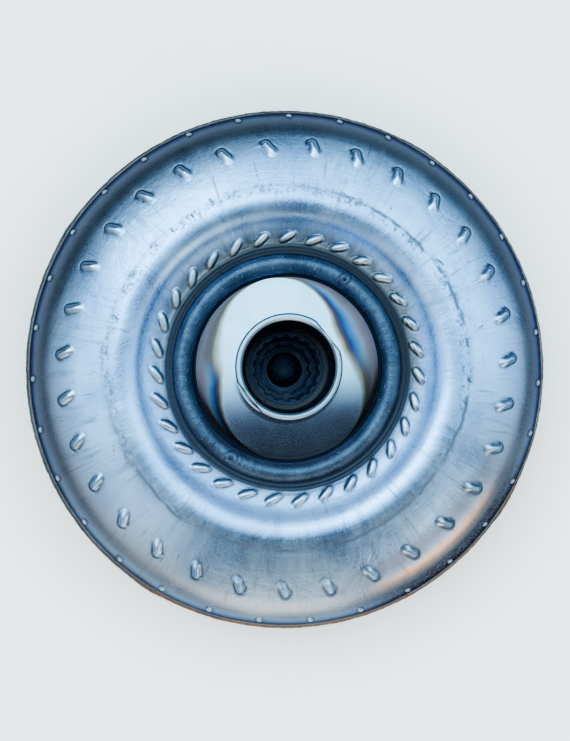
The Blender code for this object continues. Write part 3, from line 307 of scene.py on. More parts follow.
def cover_finish():
    """The same steel on the far side: lathe-like rings, mill mottle, and a scorched ring round the pilot."""
    look = Look("cover steel", Metallic=1.0, Specular_Tint=(0.5, 0.55, 0.6))
    cloud = look.noise(0.03, 4.0, 0.55, distortion=0.5)
    fine = look.noise(0.9, 3.0, 0.65)
    rings = look.noise(1.0, 3.0, 0.5, look.around(1.2, 1.3))
    streaks = look.noise(1.0, 4.0, 0.6, look.around(20.0, 0.03), distortion=0.4)
    colour = look.mix(look.step(cloud, 0.3, 0.7), (0.13, 0.22, 0.33), (0.20, 0.31, 0.44))
    colour = look.mix(look.step(streaks, 0.55, 0.70) * 0.35, colour, (0.14, 0.20, 0.28))
    colour = look.mix(look.step(look.noise(0.7, 2.0, 0.7), 0.68, 0.74) * 0.5, colour, (0.05, 0.08, 0.11))
    burn = look.step(look.radius + (cloud - 0.5) * 6.0, 33.0, 26.0) * look.step(look.z, 40.0, 34.0)
    colour = look.mix(burn * 0.75, colour, (0.06, 0.06, 0.075))
    seam = look.step(look.z, 74.0, 80.0) * look.step(fine, 0.35, 0.6)
    look.colour(look.mix(seam * 0.5, colour, (0.12, 0.11, 0.11)))
    look.rough(0.36 + (cloud - 0.5) * 0.22 + (rings - 0.5) * 0.12 + (fine - 0.5) * 0.15)
    look.bump(fine * 0.05 + rings * 0.035 + cloud * 0.4)
    return look.material


def bead_finish(name, base, light, speck_colour, craters=()):
    """Weld metal: a coloured oxide skin with a fine grain, bright spatter, soot and dark end craters."""
    look = Look(name, Metallic=1.0)
    cloud = look.noise(0.07, 3.0, 0.6)
    fine = look.noise(1.3, 3.0, 0.7)
    colour = look.mix(look.step(cloud * 0.6 + fine * 0.4, 0.36, 0.64), base, light)
    spatter = look.step(look.noise(1.1, 2.0, 0.7), 0.68, 0.73)
    colour = look.mix(spatter * 0.7, colour, speck_colour)
    colour = look.mix(look.step(look.noise(0.35, 3.0, 0.7), 0.60, 0.70) * 0.5, colour, (0.010, 0.016, 0.026))
    if craters:
        colour = look.mix(look.spots(craters) * 0.85, colour, (0.006, 0.010, 0.018))
    else:
        rust = look.towards(300.0, 50.0, 75.0) * look.step(cloud, 0.3, 0.6)
        colour = look.mix(rust, colour, (0.10, 0.065, 0.045))
    look.colour(colour)
    look.rough(0.40 + (fine - 0.5) * 0.35 + (cloud - 0.5) * 0.2)
    look.bump(fine * 0.16 + spatter * 0.08)
    return look.material


FLANGE_R = 44.9  # the polished face's edge, where its groove begins


def heat_tint(look, image_angle, depth, stops):
    """Colours that the weld's heat left along the flange's edge on one side, and their mask.

    They form a crescent, depth millimetres wide in its middle. The colours are stops over the share of the
    way from its inner side to the edge.
    """
    side = (look.along(image_angle) / look.radius).math("MAXIMUM", 0.0)
    start = FLANGE_R - side * side * side * depth
    share = (look.radius - start) / (FLANGE_R + 0.3 - start) + (look.noise(0.045, 3.0, 0.5) - 0.5) * 0.40
    return look.node("ShaderNodeValToRGB", {"stops": stops}, {0: share}), look.step(share, -0.25, 0.12)


def hub_finish():
    """Turned and polished steel: lathe lines, and crescents of heat colours on the flange's two sides."""
    look = Look("hub steel", Metallic=1.0)
    r, level = look.radius, look.z - RIM_Z
    lathe = look.noise(1.0, 2.0, 0.5, look.around(1.0, 5.0))
    cloud = look.noise(0.06, 3.0, 0.55, distortion=0.4)
    fine = look.noise(1.6, 2.0)
    flange = look.step(level, 45.0, 41.6)
    colour = look.mix(look.step(cloud, 0.35, 0.65), (0.27, 0.63, 0.93), (0.36, 0.73, 0.99))
    # Painted shade: darker towards the bottom
    colour = look.mix(look.step(look.along(90.0), -5.0, -24.0), colour, (0.33, 0.45, 0.70))
    brown = ((0.0, (0.34, 0.58, 0.78)), (0.20, (0.22, 0.25, 0.23)), (0.42, (0.060, 0.050, 0.042)),
             (0.60, (0.048, 0.042, 0.050)), (0.80, (0.062, 0.056, 0.070)), (1.0, (0.030, 0.034, 0.045)))
    rainbow = ((0.0, (0.34, 0.58, 0.78)), (0.10, (0.20, 0.19, 0.15)), (0.22, (0.045, 0.030, 0.034)),
               (0.34, (0.007, 0.018, 0.070)), (0.48, (0.014, 0.070, 0.18)), (0.62, (0.065, 0.12, 0.18)),
               (0.78, (0.085, 0.060, 0.075)), (1.0, (0.030, 0.036, 0.055)))
    tinted = colour
    for image_angle, depth, blue_angle in ((181.0, 13.4, 216.0), (24.0, 16.5, 40.0)):
        plain, mask = heat_tint(look, image_angle, depth, brown)
        blue, mask = heat_tint(look, image_angle, depth, rainbow)
        tinted = look.mix(mask, tinted, look.mix(look.towards(blue_angle, 20.0, 46.0), plain, blue))
    end = look.step(level, 83.4, 83.9)
    colour = look.mix(end * 0.85, look.mix(flange, colour, tinted), (0.24, 0.40, 0.56))
    # Painted shade: the groove beside the bead and the bore go near black, and so does the tube's outer top
    # chamfer
    gap = look.band(r, 45.0, 47.0, 0.25) * flange
    edge = look.band(level, 83.95, 84.55, 0.10) * look.step(r, 21.9, 22.1)
    bore = look.step(r, 21.75, 21.2) * look.step(level, 84.7, 83.4)
    dark = gap.math("MAXIMUM", edge).math("MAXIMUM", bore)
    look.colour(look.mix(dark * 0.985, colour, (0.004, 0.008, 0.016)))
    look.rough(0.085 + (lathe - 0.5) * 0.04 + (cloud - 0.5) * 0.05 + gap * 0.5 + bore * 0.3 + end * 0.25)
    look.bump(lathe * 0.0008 + fine * 0.0001)
    return look.material


def plain_metal(name, colour, darker, roughness, grain=1.2, metallic=1.0, height=0.03):
    """A plain finish: clouded, with fine tool marks, and painted black as shade deep in the bore."""
    look = Look(name, Metallic=metallic)
    cloud = look.noise(0.09, 4.0, 0.6)
    fine = look.noise(grain, 3.0, 0.6)
    rings = look.noise(1.0, 2.0, 0.5, look.around(1.4, 2.4))
    shade = look.mix(look.step(cloud * 0.7 + fine * 0.3, 0.35, 0.65), darker, colour)
    # Painted shade: near black inside the bore's radius, above 16 mm
    painted_bore_shade = look.step(look.radius, 24.0, 21.5) * look.step(look.z, 14.5, 16.5) * (0.92 + rings * 0.12)
    look.colour(look.mix(painted_bore_shade, shade, (0.002, 0.008, 0.022)))
    look.rough(roughness + (rings - 0.5) * 0.18 + (cloud - 0.5) * 0.15)
    look.bump(rings * height + fine * height)
    return look.material


FINISH = {
    "shell": shell_finish(),
    "cover": cover_finish(),
    "hub": hub_finish(),
    "hub bead": bead_finish("blued bead", (0.019, 0.038, 0.070), (0.046, 0.082, 0.14), (0.50, 0.62, 0.66),
                            ((57.0, 51.2, 0.9, 0.8, 0.0), (238.0, 52.0, 0.9, 1.2, 0.0))),
    "brown bead": bead_finish("brown bead", (0.035, 0.042, 0.052), (0.075, 0.090, 0.11), (0.25, 0.26, 0.26)),
    "pressed_steel": plain_metal("pressed steel", (0.34, 0.50, 0.66), (0.22, 0.33, 0.45), 0.40),
    "blade_steel": plain_metal("blade steel", (0.34, 0.40, 0.46), (0.22, 0.27, 0.32), 0.45),
    "polished_steel": plain_metal("polished steel", (0.52, 0.64, 0.72), (0.42, 0.52, 0.60), 0.2),
    "machined_steel": plain_metal("machined steel", (0.44, 0.52, 0.60), (0.32, 0.39, 0.46), 0.27),
    "blued_weld": plain_metal("blued weld", (0.075, 0.17, 0.30), (0.035, 0.085, 0.17), 0.45),
    "weld_metal": plain_metal("weld metal", (0.20, 0.20, 0.21), (0.10, 0.10, 0.11), 0.5),
    "spring_steel": plain_metal("spring steel", (0.20, 0.23, 0.27), (0.11, 0.13, 0.16), 0.35),
    "cast_aluminium": plain_metal("cast aluminium", (0.66, 0.68, 0.69), (0.52, 0.54, 0.56), 0.5, 2.5,
                                  height=0.08),
    "friction_paper": plain_metal("friction paper", (0.26, 0.20, 0.13), (0.16, 0.12, 0.08), 0.9, 3.0,
                                  0.0, 0.12),
    "washer_plastic": plain_metal("washer plastic", (0.10, 0.09, 0.075), (0.05, 0.045, 0.04), 0.55, 2.0,
                                  0.0, 0.05),
}


# Surfaces on grids

def skin(name, points, body, finish, replaces, rows_meet=True):
    """A closed smooth surface through a grid of points, rows by columns, in millimetres.

    Columns run round and meet. Rows meet too, or else the first and the last row are poles.
    """
    rows, columns = points.shape[:2]
    i = np.arange(rows if rows_meet else rows - 1)[:, None]
    j = np.arange(columns)[None, :]
    here, above = i * columns, (i + 1) % rows * columns
    after = (j + 1) % columns
    quads = np.stack([here + j, here + after, above + after, above + j], -1).reshape(-1, 4)
    flat = points.reshape(-1, 3)
    corner = flat[quads]
    volume = np.einsum("ij,ij->i", corner[:, 0], np.cross(corner[:, 1], corner[:, 2])).sum()
    volume += np.einsum("ij,ij->i", corner[:, 0], np.cross(corner[:, 2], corner[:, 3])).sum()
    if volume < 0:
        quads = quads[:, ::-1]
    faces = quads.tolist()
    if not rows_meet:  # a pole's row is one point, so its quads become triangles
        merged = np.arange(rows * columns)
        merged[:columns] = 0
        merged[-columns:] = (rows - 1) * columns
        faces = [list(dict.fromkeys(face)) for face in merged[quads].tolist()]
    mesh = bpy.data.meshes.new(name)
    mesh.from_pydata((flat * MM).tolist(), [], faces)
    if not rows_meet:
        drop_loose(mesh)
    mesh.shade_smooth()
    mesh.set_sharp_from_angle(angle=radians(38))
    mesh.materials.append(FINISH[finish])
    made = bpy.data.objects.new(name, mesh)
    bpy.context.scene.collection.objects.link(made)
    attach(made, body)
    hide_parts(*replaces)
    return made


def drop_loose(mesh):
    """Takes out the points that no face uses."""
    bm = bmesh.new()
    bm.from_mesh(mesh)
    bmesh.ops.delete(bm, geom=[v for v in bm.verts if not v.link_faces], context="VERTS")
    bm.to_mesh(mesh)
    bm.free()


def spun(radius, height, angle):
    """Points at (radius, height), each an array of rows by columns, at angles in degrees round the axis."""
    turn = np.broadcast_to(radians(angle), radius.shape)
    return np.stack([radius * np.cos(turn), radius * np.sin(turn), np.broadcast_to(height, radius.shape)], -1)


def filleted(corners, step):
    """A line through (radius, height, fillet) corners, with its fillets as arcs of about step degrees.

    A fillet's arc touches both sides at fillet times the tangent of half the turn.
    """
    line = []
    points = [np.array(corner[:2], float) for corner in corners]
    for k, (*_, fillet) in enumerate(corners):
        here = points[k]
        before, after = points[k - 1] - here, points[(k + 1) % len(points)] - here
        if not fillet:
            line.append(here)
            continue
        before, after = before / np.hypot(*before), after / np.hypot(*after)
        half = math.acos(np.clip(before @ after, -1, 1)) / 2
        middle = here + (before + after) / np.hypot(*(before + after)) * fillet / math.sin(half)
        start = here + before * fillet / math.tan(half) - middle
        end = here + after * fillet / math.tan(half) - middle
        sweep = math.pi - 2 * half
        share = np.linspace(0, 1, max(3, int(math.degrees(sweep) / step)))[:, None]
        arc = (start * np.sin((1 - share) * sweep) + end * np.sin(share * sweep)) / math.sin(sweep)
        line += list(middle + arc)
    return np.array(line)


def dense(line, step):
    """The closed line with more points where its own lie further apart than step."""
    out = []
    for here, after in zip(line, np.roll(line, -1, 0)):
        count = max(1, int(np.hypot(*(after - here)) / step))
        out += [here + (after - here) * k / count for k in range(count)]
    return np.array(out)


def wobble(angle, waves, seed):
    """A smooth random curve round the axis, between about -1 and 1, as a sum of a few sines."""
    phases = np.random.default_rng(seed).uniform(0, 2 * np.pi, len(waves))
    sines = sum(np.sin(radians(angle) * wave + phase) for wave, phase in zip(waves, phases))
    return sines / len(waves) ** 0.5


def near(angle, middle, reach):
    """A bell from 1 at an angle to 0 away from it."""
    apart = (angle - middle + 180) % 360 - 180
    return np.exp(-((apart / reach) ** 2))


# Impeller shell

SHELL_T = 2.8
RIM_R, WALL_R = 135.9, 132.4
BOWL_RADIUS, BOWL_Z = 28.0, RIM_Z + 16.5
BOWL_R = WALL_R - BOWL_RADIUS
CROWN_R, CROWN_Z, CROWN_RADIUS = 82.5, BOWL_Z + 17.826, 16.0
RUN_INNER, RUN_OUTER = radians(9.0), radians(19.0)  # slopes at the two ends of the run from crown to bowl
NECK, NECK_RADIUS = radians(40.0), 19.4
NECK_OUTER_R = CROWN_R - CROWN_RADIUS * math.sin(NECK)
NECK_INNER_R = NECK_OUTER_R - NECK_RADIUS * math.sin(NECK)
SEAT_Z = CROWN_Z + CROWN_RADIUS * math.cos(NECK) - NECK_RADIUS * (1 - math.cos(NECK))
BORE_R = 51.2
BLADES = 31
INNER_TAB_R, OUTER_TAB_R, OUTER_TAB_SLOPE, RIM_TAB_SLOPE = 64.5, 107.6, 17.2, 51.0
FIRST_BLADE = 8.575
INNER_TO_OUTER, OUTER_TO_RIM = -18.25, 6.36
BLADE_LEANS = (-57.0, 25.0)  # at the inner and the outer tabs


def shell_rows(depth=0.0, rows=None):
    """Rows of the shell's outer line, or of one depth inside it: radius, height, slope, distance along it.

    Rim, tapered wall, bowl arc, crown arc and neck arc follow each other, each sampled at its own step.
    Between the bowl and the crown runs a cubic that meets both arcs at their slopes.
    """
    pieces = []

    def add(radius, height, slope):
        radius, height, slope = np.broadcast_arrays(radius, height, slope)
        pieces.append(np.stack([radius, height, slope], -1))

    def count(fine, coarse):
        return coarse if rows == "coarse" else fine

    add(RIM_R, np.linspace(RIM_Z - 8.0, RIM_Z + 1.5, count(4, 2))[:-1], math.pi / 2)
    share = np.linspace(0, 1, count(8, 3))[:-1]
    taper = (RIM_R - WALL_R) * (share - 0.12 * np.sin(2 * np.pi * share))
    add(RIM_R - taper, RIM_Z + 1.5 + 15.0 * share, math.pi / 2)
    slopes = (np.linspace(90, 62, count(6, 3))[:-1], np.linspace(62, 40, count(25, 3))[:-1],
              np.linspace(40, 19, count(14, 2))[:-1])
    slope = radians(np.concatenate(slopes))
    add(BOWL_R + BOWL_RADIUS * np.sin(slope), BOWL_Z + BOWL_RADIUS * np.cos(slope), slope)
    t = np.concatenate([np.linspace(0, 0.40, count(28, 2))[:-1], np.linspace(0.40, 1, count(8, 3))[:-1]])
    t = t[:, None]
    start, end = (middle + size * np.array([math.sin(lean), math.cos(lean)]) for middle, size, lean in (
        (np.array([BOWL_R, BOWL_Z]), BOWL_RADIUS, RUN_OUTER),
        (np.array([CROWN_R, CROWN_Z]), CROWN_RADIUS, RUN_INNER)))
    leave, arrive = (np.hypot(*(end - start)) * np.array([-math.cos(lean), math.sin(lean)])
                     for lean in (RUN_OUTER, RUN_INNER))
    rise = 3 * (end - start) - 2 * leave - arrive
    bend = leave + arrive - 2 * (end - start)
    line, pull = start + leave * t + rise * t**2 + bend * t**3, leave + 2 * rise * t + 3 * bend * t**2
    add(line[:, 0], line[:, 1], np.arctan2(pull[:, 1], -pull[:, 0]))
    slope = np.linspace(RUN_INNER, -NECK, count(16, 5))[:-1]
    add(CROWN_R + CROWN_RADIUS * np.sin(slope), CROWN_Z + CROWN_RADIUS * np.cos(slope), slope)
    slope = np.linspace(-NECK, 0, count(32, 5))
    add(NECK_INNER_R - NECK_RADIUS * np.sin(slope), SEAT_Z + NECK_RADIUS * (1 - np.cos(slope)), slope)
    add(np.linspace(NECK_INNER_R, BORE_R, count(5, 2))[1:], SEAT_Z, 0.0)
    radius, height, slope = np.concatenate(pieces).T
    return radius - depth * np.sin(slope), height - depth * np.cos(slope), slope


def blade_turn(radius, slope):
    """Angle of the blade line in degrees from the inner tabs.

    Between the tab rings it is the cubic in the logarithm of the radius that leans as the blades do at both,
    and on the bowl it is straight in the slope.
    """
    span = math.log(OUTER_TAB_R / INNER_TAB_R)
    share = np.log(radius / INNER_TAB_R) / span
    start, end = (np.degrees(np.tan(radians(lean))) * span for lean in BLADE_LEANS)
    bend, twist = 3 * INNER_TO_OUTER - 2 * start - end, start + end - 2 * INNER_TO_OUTER
    cubic = start * share + bend * share**2 + twist * share**3
    down = np.maximum(np.degrees(slope) - OUTER_TAB_SLOPE, 0)
    bowl = INNER_TO_OUTER + OUTER_TO_RIM * down / (RIM_TAB_SLOPE - OUTER_TAB_SLOPE)
    return np.where(share < 0, start * share, np.where(share > 1, bowl, cubic))


def tab_relief(radius, slope, along, turn, offset, number, ring):
    """Height and shade of one ring of pressed tabs: shade is painted shade over 0, in the crease, and a
    painted highlight under 0, on the top.

    In a tab's own directions, along it and across it, gap is 1 on its outline: a capsule for a louvre, and an
    oval for a pillow. Both rise as a power of (1 - gap^2). A louvre is full at its outer end and runs out
    towards the hub. Painted shade fills the crease near gap 1: in a U round a louvre, and round a pillow
    mostly on the hub's side.
    """
    middle, lean, half, width, rise, louvre = ring
    row = np.argmin(np.abs(middle(radius, slope)))
    random = np.random.default_rng(int(abs(lean) * 7))
    lean = lean + random.normal(0, 2.5, BLADES)[number]
    rise = rise * (1 + random.normal(0, 0.08, BLADES))[number]
    shift = random.normal(0, 0.22, BLADES)[number]
    dented = (random.random(BLADES) < 0.6)[number] * near(number * 360 / BLADES + FIRST_BLADE, -25.0, 34.0)
    out = (along[row] - along)[:, None] + shift
    side = radians((turn - turn[row])[:, None] + offset) * radius[:, None]
    q = out * np.cos(radians(lean)) + side * np.sin(radians(lean))
    p = side * np.cos(radians(lean)) - out * np.sin(radians(lean))
    if louvre:
        gap = np.hypot(p, np.maximum(np.abs(q) - half, 0.0)) / width
        dome = np.maximum(1 - np.minimum(gap, 1.0) ** 2, 0.0) ** 1.8
        crease = np.exp(-(((gap - 0.96) / 0.20) ** 2))
        tail = 1 / (1 + np.exp(-(q + half * 0.8) * 1.8))
        shine = dome * np.exp(-(((q + half * 0.9) / 1.3) ** 2)) * 0.6
        shade = crease * (0.25 + 0.75 * tail) - shine
        return rise * (dome * (0.42 + 0.58 * tail) - 0.10 * crease * tail), shade
    gap = np.sqrt((p / width) ** 2 + (np.abs(q) / (half + width)) ** 3)
    dome = np.maximum(1 - np.minimum(gap, 1.0) ** 2, 0.0) ** 0.9
    crease = np.exp(-(((gap - 1.08) / 0.16) ** 2))
    if rise[0] > 1.25:  # the inner tabs: hammered and dented towards the upper right
        ripple = np.sin(q * 2.2 + number) * 0.16 + np.sin(p * 2.4 + q + number * 2) * 0.12
        dome = dome * (1 + dented[None, :] * (ripple - 0.10))
    hubward = 1 / (1 + np.exp(out * 1.3))
    return rise * (dome - 0.06 * crease), crease * (0.25 + 0.55 * hubward) - dome**2 * 0.55


def impeller_skin():
    """The pressed shell: its line spun on columns that follow the blades, with three rings of tabs on it."""
    radius, height, slope = shell_rows()
    run = np.hypot(np.diff(radius, prepend=radius[0]), np.diff(height, prepend=height[0]))
    along = np.cumsum(run)
    turn = blade_turn(radius, slope)
    per_blade = 20
    t = (np.arange(per_blade) + 0.5) / per_blade * 2 - 1
    crowd = np.clip((radius - 72.0) / 26.0, 0, 1)[:, None]  # outward the columns crowd towards the tabs
    offset = np.tile(180 / BLADES * (t + crowd * (0.64 * t**9 - 0.64 * t)), (1, BLADES))
    number = np.repeat(np.arange(BLADES), per_blade)
    rings = (  # where the middle lies, lean, half length, half width, rise, louvre or pillow
        (lambda r, s: r - INNER_TAB_R + 100 * (s > 0.1), BLADE_LEANS[0], 2.7, 2.3, 1.55, False),
        (lambda r, s: r - OUTER_TAB_R, BLADE_LEANS[1], 2.8, 2.75, 1.35, True),
        (lambda r, s: s - radians(RIM_TAB_SLOPE), 8.0, 1.0, 1.7, 0.45, False),
    )
    relief = [tab_relief(radius, slope, along, turn, offset, number, ring) for ring in rings]
    lift, crease = sum(pair[0] for pair in relief), sum(pair[1] for pair in relief)
    angle = FIRST_BLADE + turn[:, None] + number[None, :] * 360 / BLADES + offset
    lift = lift + 0.07 * wobble(angle, (3, 5, 8, 13), 4) * ((radius > 62) & (radius < 131))[:, None]
    outer = spun(radius[:, None] + lift * np.sin(slope)[:, None],
                 height[:, None] + lift * np.cos(slope)[:, None], angle)
    radius, height, slope = shell_rows(SHELL_T, "coarse")
    angle = (FIRST_BLADE + blade_turn(np.maximum(radius, 61), slope)[:, None] + number[None, :] * 360 / BLADES
             + np.tile(180 / BLADES * t, BLADES)[None, :])
    inner = spun(np.broadcast_to(radius[:, None], angle.shape), height[:, None], angle)
    made = skin("shell_skin", np.concatenate([outer, inner[::-1]]), "housing", "shell",
                ["impeller_shell"])
    # The tabs' painted shade and highlights, stored for the shell's finish as the crease attribute
    painted_shade_and_highlight = np.zeros(len(made.data.vertices), np.float32)
    painted_shade_and_highlight[:crease.size] = crease.ravel()
    made.data.attributes.new("crease", "FLOAT", "POINT").data.foreach_set("value", painted_shade_and_highlight)


# Welds

def hub_bead():
    """The bead over the hub's flange: an arc spun round, with a fine ripple.

    At two places the bead laps its own start: a round scale stands proud there, with an end crater in it.
    """
    angle = np.linspace(0, 360, 901)[:-1][None, :]
    seat, face, centre_z, bead_radius = SEAT_Z + 0.3, RIM_Z + 40.55, RIM_Z + 41.55, 5.0
    start = -math.degrees(math.acos((face - centre_z) / bead_radius))
    end = math.degrees(math.acos((seat - centre_z) / bead_radius))
    around = radians(np.linspace(start, end, 34))[:, None]
    ripple = 0.05 * np.abs(np.sin(radians(angle * 90) + 2.2 * np.cos(around)))
    ripple = ripple + 0.05 * wobble(angle, (31, 47, 83), 3)
    scale = 0.0
    for middle, reach in ((359.0, 3.6), (180.0, 4.2)):
        apart = (angle - middle + 180) % 360 - 180
        away = np.hypot(apart / reach, around / 0.95)
        crater = np.exp(-(np.hypot(apart / 0.9, (around + 0.03) / 0.20) ** 2))
        scale = scale + 0.50 / (1 + np.exp(np.minimum((away - 0.80) * 22, 60.0)))
        scale = scale - 0.25 * np.exp(-(((away - 0.95) / 0.10) ** 2))
        lip = np.exp(-((np.hypot(apart / 0.9, around / 0.20) - 1.3) / 0.3) ** 2)
        scale = scale - 1.1 * crater + 0.25 * lip
    inside = np.cos(around) > 0.30
    size = bead_radius + (ripple + scale * 0.8 - 0.10) * inside
    radius = 51.4 + size * np.sin(around) * (1 + 0.012 * wobble(angle, (7, 12, 19), 8))
    height = centre_z + size * np.cos(around)
    height[0], height[-1] = face, seat
    step = np.full(angle.shape, 50.9)
    rows = [spun(radius, height, angle), spun(step, seat, angle), spun(step, face, angle)]
    skin("hub_weld_bead", np.concatenate(rows), "housing", "hub bead", ["hub_weld"])


def closure_bead():
    """The bead between the two pressings: scalloped all round, and lapped at four places."""
    angle = np.linspace(0, 360, 1081)[:-1][None, :]
    inner, outer, low = 136.32, 139.2, RIM_Z + 0.3
    lap = sum(near(angle, k * 90, 4.0) for k in range(4))
    scallop = 0.22 * np.abs(np.sin(radians(angle * 95))) + 0.14 * wobble(angle, (23, 41, 67, 97), 5)
    share = np.linspace(0, 1, 16)[:, None]
    bow = np.sin(np.pi * share)
    radius = outer + (inner - outer) * share**1.3 + 0.5 * bow + scallop * bow * 0.4 + 0.75 * lap * (1 - share)
    height = low + 3.5 * share**0.8 + (0.5 + scallop) * bow
    radius = np.minimum(radius, 139.98)
    rows = [spun(radius, height, angle), spun(np.full(angle.shape, inner), low, angle)]
    skin("closure_weld_bead", np.concatenate(rows), "housing", "brown bead", ["closure_weld"])


def pilot_bead():
    """The fillet weld round the pilot, with stacked ripples."""
    angle = np.linspace(0, 360, 361)[:-1][None, :]
    share = np.linspace(0, 1, 14)[:, None]
    ripple = 0.16 * np.abs(np.sin(radians(angle * 32) + 1.5 * share)) * np.sin(np.pi * share)
    radius = 20.3 + 3.4 * (1 - share) - 0.25 * np.sin(np.pi * share) + ripple
    height = 21.0 - 3.4 * share - ripple
    rows = [spun(radius, height, angle), spun(np.full(angle.shape, 20.3), 21.0, angle)]
    skin("pilot_weld_bead", np.concatenate(rows), "housing", "brown bead", ["pilot_weld"])


# Turned pieces

def turned(name, corners, body, finish, replaces, columns=192, arc_step=9, step=4.0, shape=None):
    """A closed line of (radius, height, fillet) corners spun round the axis; shape may move its points."""
    radius, height = dense(filleted(corners, arc_step), step).T
    angle = np.linspace(0, 360, columns + 1)[:-1][None, :]
    radius, height = np.broadcast_arrays(radius[:, None], height[:, None] + 0 * angle)
    if shape:
        radius, height = shape(radius + 0 * angle, height, angle)
    return skin(name, spun(radius + 0 * angle, height, angle), body, finish, replaces)


def pump_hub():
    """Flange and tube with a lead-in chamfer, and two drive flats: radii are held to the flats' distance."""
    flange, face, top = RIM_Z + 40.25, RIM_Z + 31.85, RIM_Z + 85.0
    low = top - 20.0
    corners = [
        (20.6, face, 0.4), (50.9, face, 0.4), (50.9, flange, 0.3), (46.6, flange, 0.0),
        (46.1, flange - 0.5, 0.3), (45.3, flange - 0.5, 0.3), (FLANGE_R, flange, 0.15), (23.8, flange, 2.0),
        (23.8, low - 0.02, 0), (23.8, low, 0), (23.8, low + 0.5, 0), (23.8, top - 1.0, 0.35),
        (22.8, top, 0.2), (21.6, top, 0.2), (20.6, top - 1.0, 0.3),
    ]

    def flats(radius, height, angle):
        reach = 22.2 / np.maximum(np.abs(np.cos(radians(angle + 19.5))), 0.5)
        held = np.minimum(radius, np.maximum(reach - (height > top - 1.05) * (height - top + 1.0), 20.9))
        return np.where((height >= low) & (radius > 22.0), held, radius), height

    return turned("pump_hub", corners, "housing", "hub", ["impeller_hub"], 288, 9, 2.0,
                  flats)


def cover_dish():
    """The front cover: a raised ring round the pilot, a friction face, and a deep skirt."""
    t, z = 4.5, 22.8
    corners = [
        (20.3, z - 1.5, 0.4), (48.0, z - 1.5, 6.0), (55.0, z + 1.0, 4.0), (74.0, z + 1.0, 5.0),
        (82.0, z, 6.0), (139.6, z, 20.0), (139.6, RIM_Z, 0.6), (136.6, RIM_Z, 0.3), (136.6, z + t, 17.0),
        (82.0, z + t, 6.0), (74.0, z + t + 1.0, 5.0), (55.0, z + t + 1.0, 4.0), (48.0, z + t - 1.5, 6.0),
        (20.3, z + t - 1.5, 0.4),
    ]
    return turned("cover_dish", corners, "housing", "cover", ["front_cover"], 288, 8, 4.0)


def poled(name, line, place, body, finish, replaces, columns=96, shape=None):
    """A line of (radius, height) points that starts and ends on its axis, spun round a place (x, y)."""
    radius, height = np.array(line, float).T
    angle = np.linspace(0, 360, columns + 1)[:-1][None, :]
    radius, height = radius[:, None] + 0 * angle, height[:, None] + 0 * angle
    if shape:
        radius, height = shape(radius, height, angle)
    points = spun(radius, height, angle) + np.array([*place, 0.0])
    return skin(name, points, body, finish, replaces, rows_meet=False)


def pilot_boss():
    """The pilot: a turned boss with a centre recess on its inner side."""
    tip = 13.3
    corners = [(0, 18.3, 0), (10.0, 20.3, 0.6), (10.0, 25.8, 0.6), (20.0, 25.8, 0.6), (20.0, tip, 1.6),
               (0, tip, 0)]
    line = filleted(corners, 12)
    cut = [(0.0, tip + 1.2), (1.6, tip + 1.0), (2.9, tip + 0.02)]  # lathe centre
    line = np.concatenate([line[:-1], [(5.0, tip)], cut[::-1]])
    return poled("pilot_boss", line, (0, 0), "housing", "machined_steel", ["pilot"])


def drive_piece(number):
    """A drive pad with its chamfers and weld fillet, and its stud with a rolled thread."""
    angle = radians(45 + 90 * number)
    place = (106.0 * math.cos(angle), 106.0 * math.sin(angle))
    corners = [(5.2, 17.5, 0.3), (13.5, 17.5, 1.0), (13.5, 22.5, 0), (5.2, 22.5, 0)]
    radius, height = dense(filleted(corners, 15), 1.0).T
    turn = np.linspace(0, 360, 97)[:-1][None, :]
    points = spun(radius[:, None] + 0 * turn, height[:, None] + 0 * turn, turn) + np.array([*place, 0.0])
    skin(f"pad_{number + 1}", points, "housing", "machined_steel",
         [f"drive_pad_{number + 1}"])

    def thread(radius, height, angle):
        phase = (height / 1.5 - angle / 360) % 1.0
        groove = 0.55 * (1 - np.abs(2 * phase - 1)) ** 0.8
        fade = np.clip((height - 0.6) / 0.8, 0, 1) * np.clip((16.9 - height) / 0.8, 0, 1)
        return np.where(radius > 3.0, radius - groove * fade, radius), height

    line = [(0, 0), (2.0, 0), (3.5, 0), (3.8, 0.05)] + [(3.8 + 1.1 * k / 6, 1.2 * k / 6) for k in range(1, 6)]
    line += [(4.9, z) for z in np.linspace(1.2, 17.2, 130)] + [(4.9, 19.0), (4.9, 22.5), (0, 22.5)]
    poled(f"stud_{number + 1}", line, place, "housing", "spring_steel",
          [f"drive_stud_{number + 1}"], 48, thread)


# Floor and light

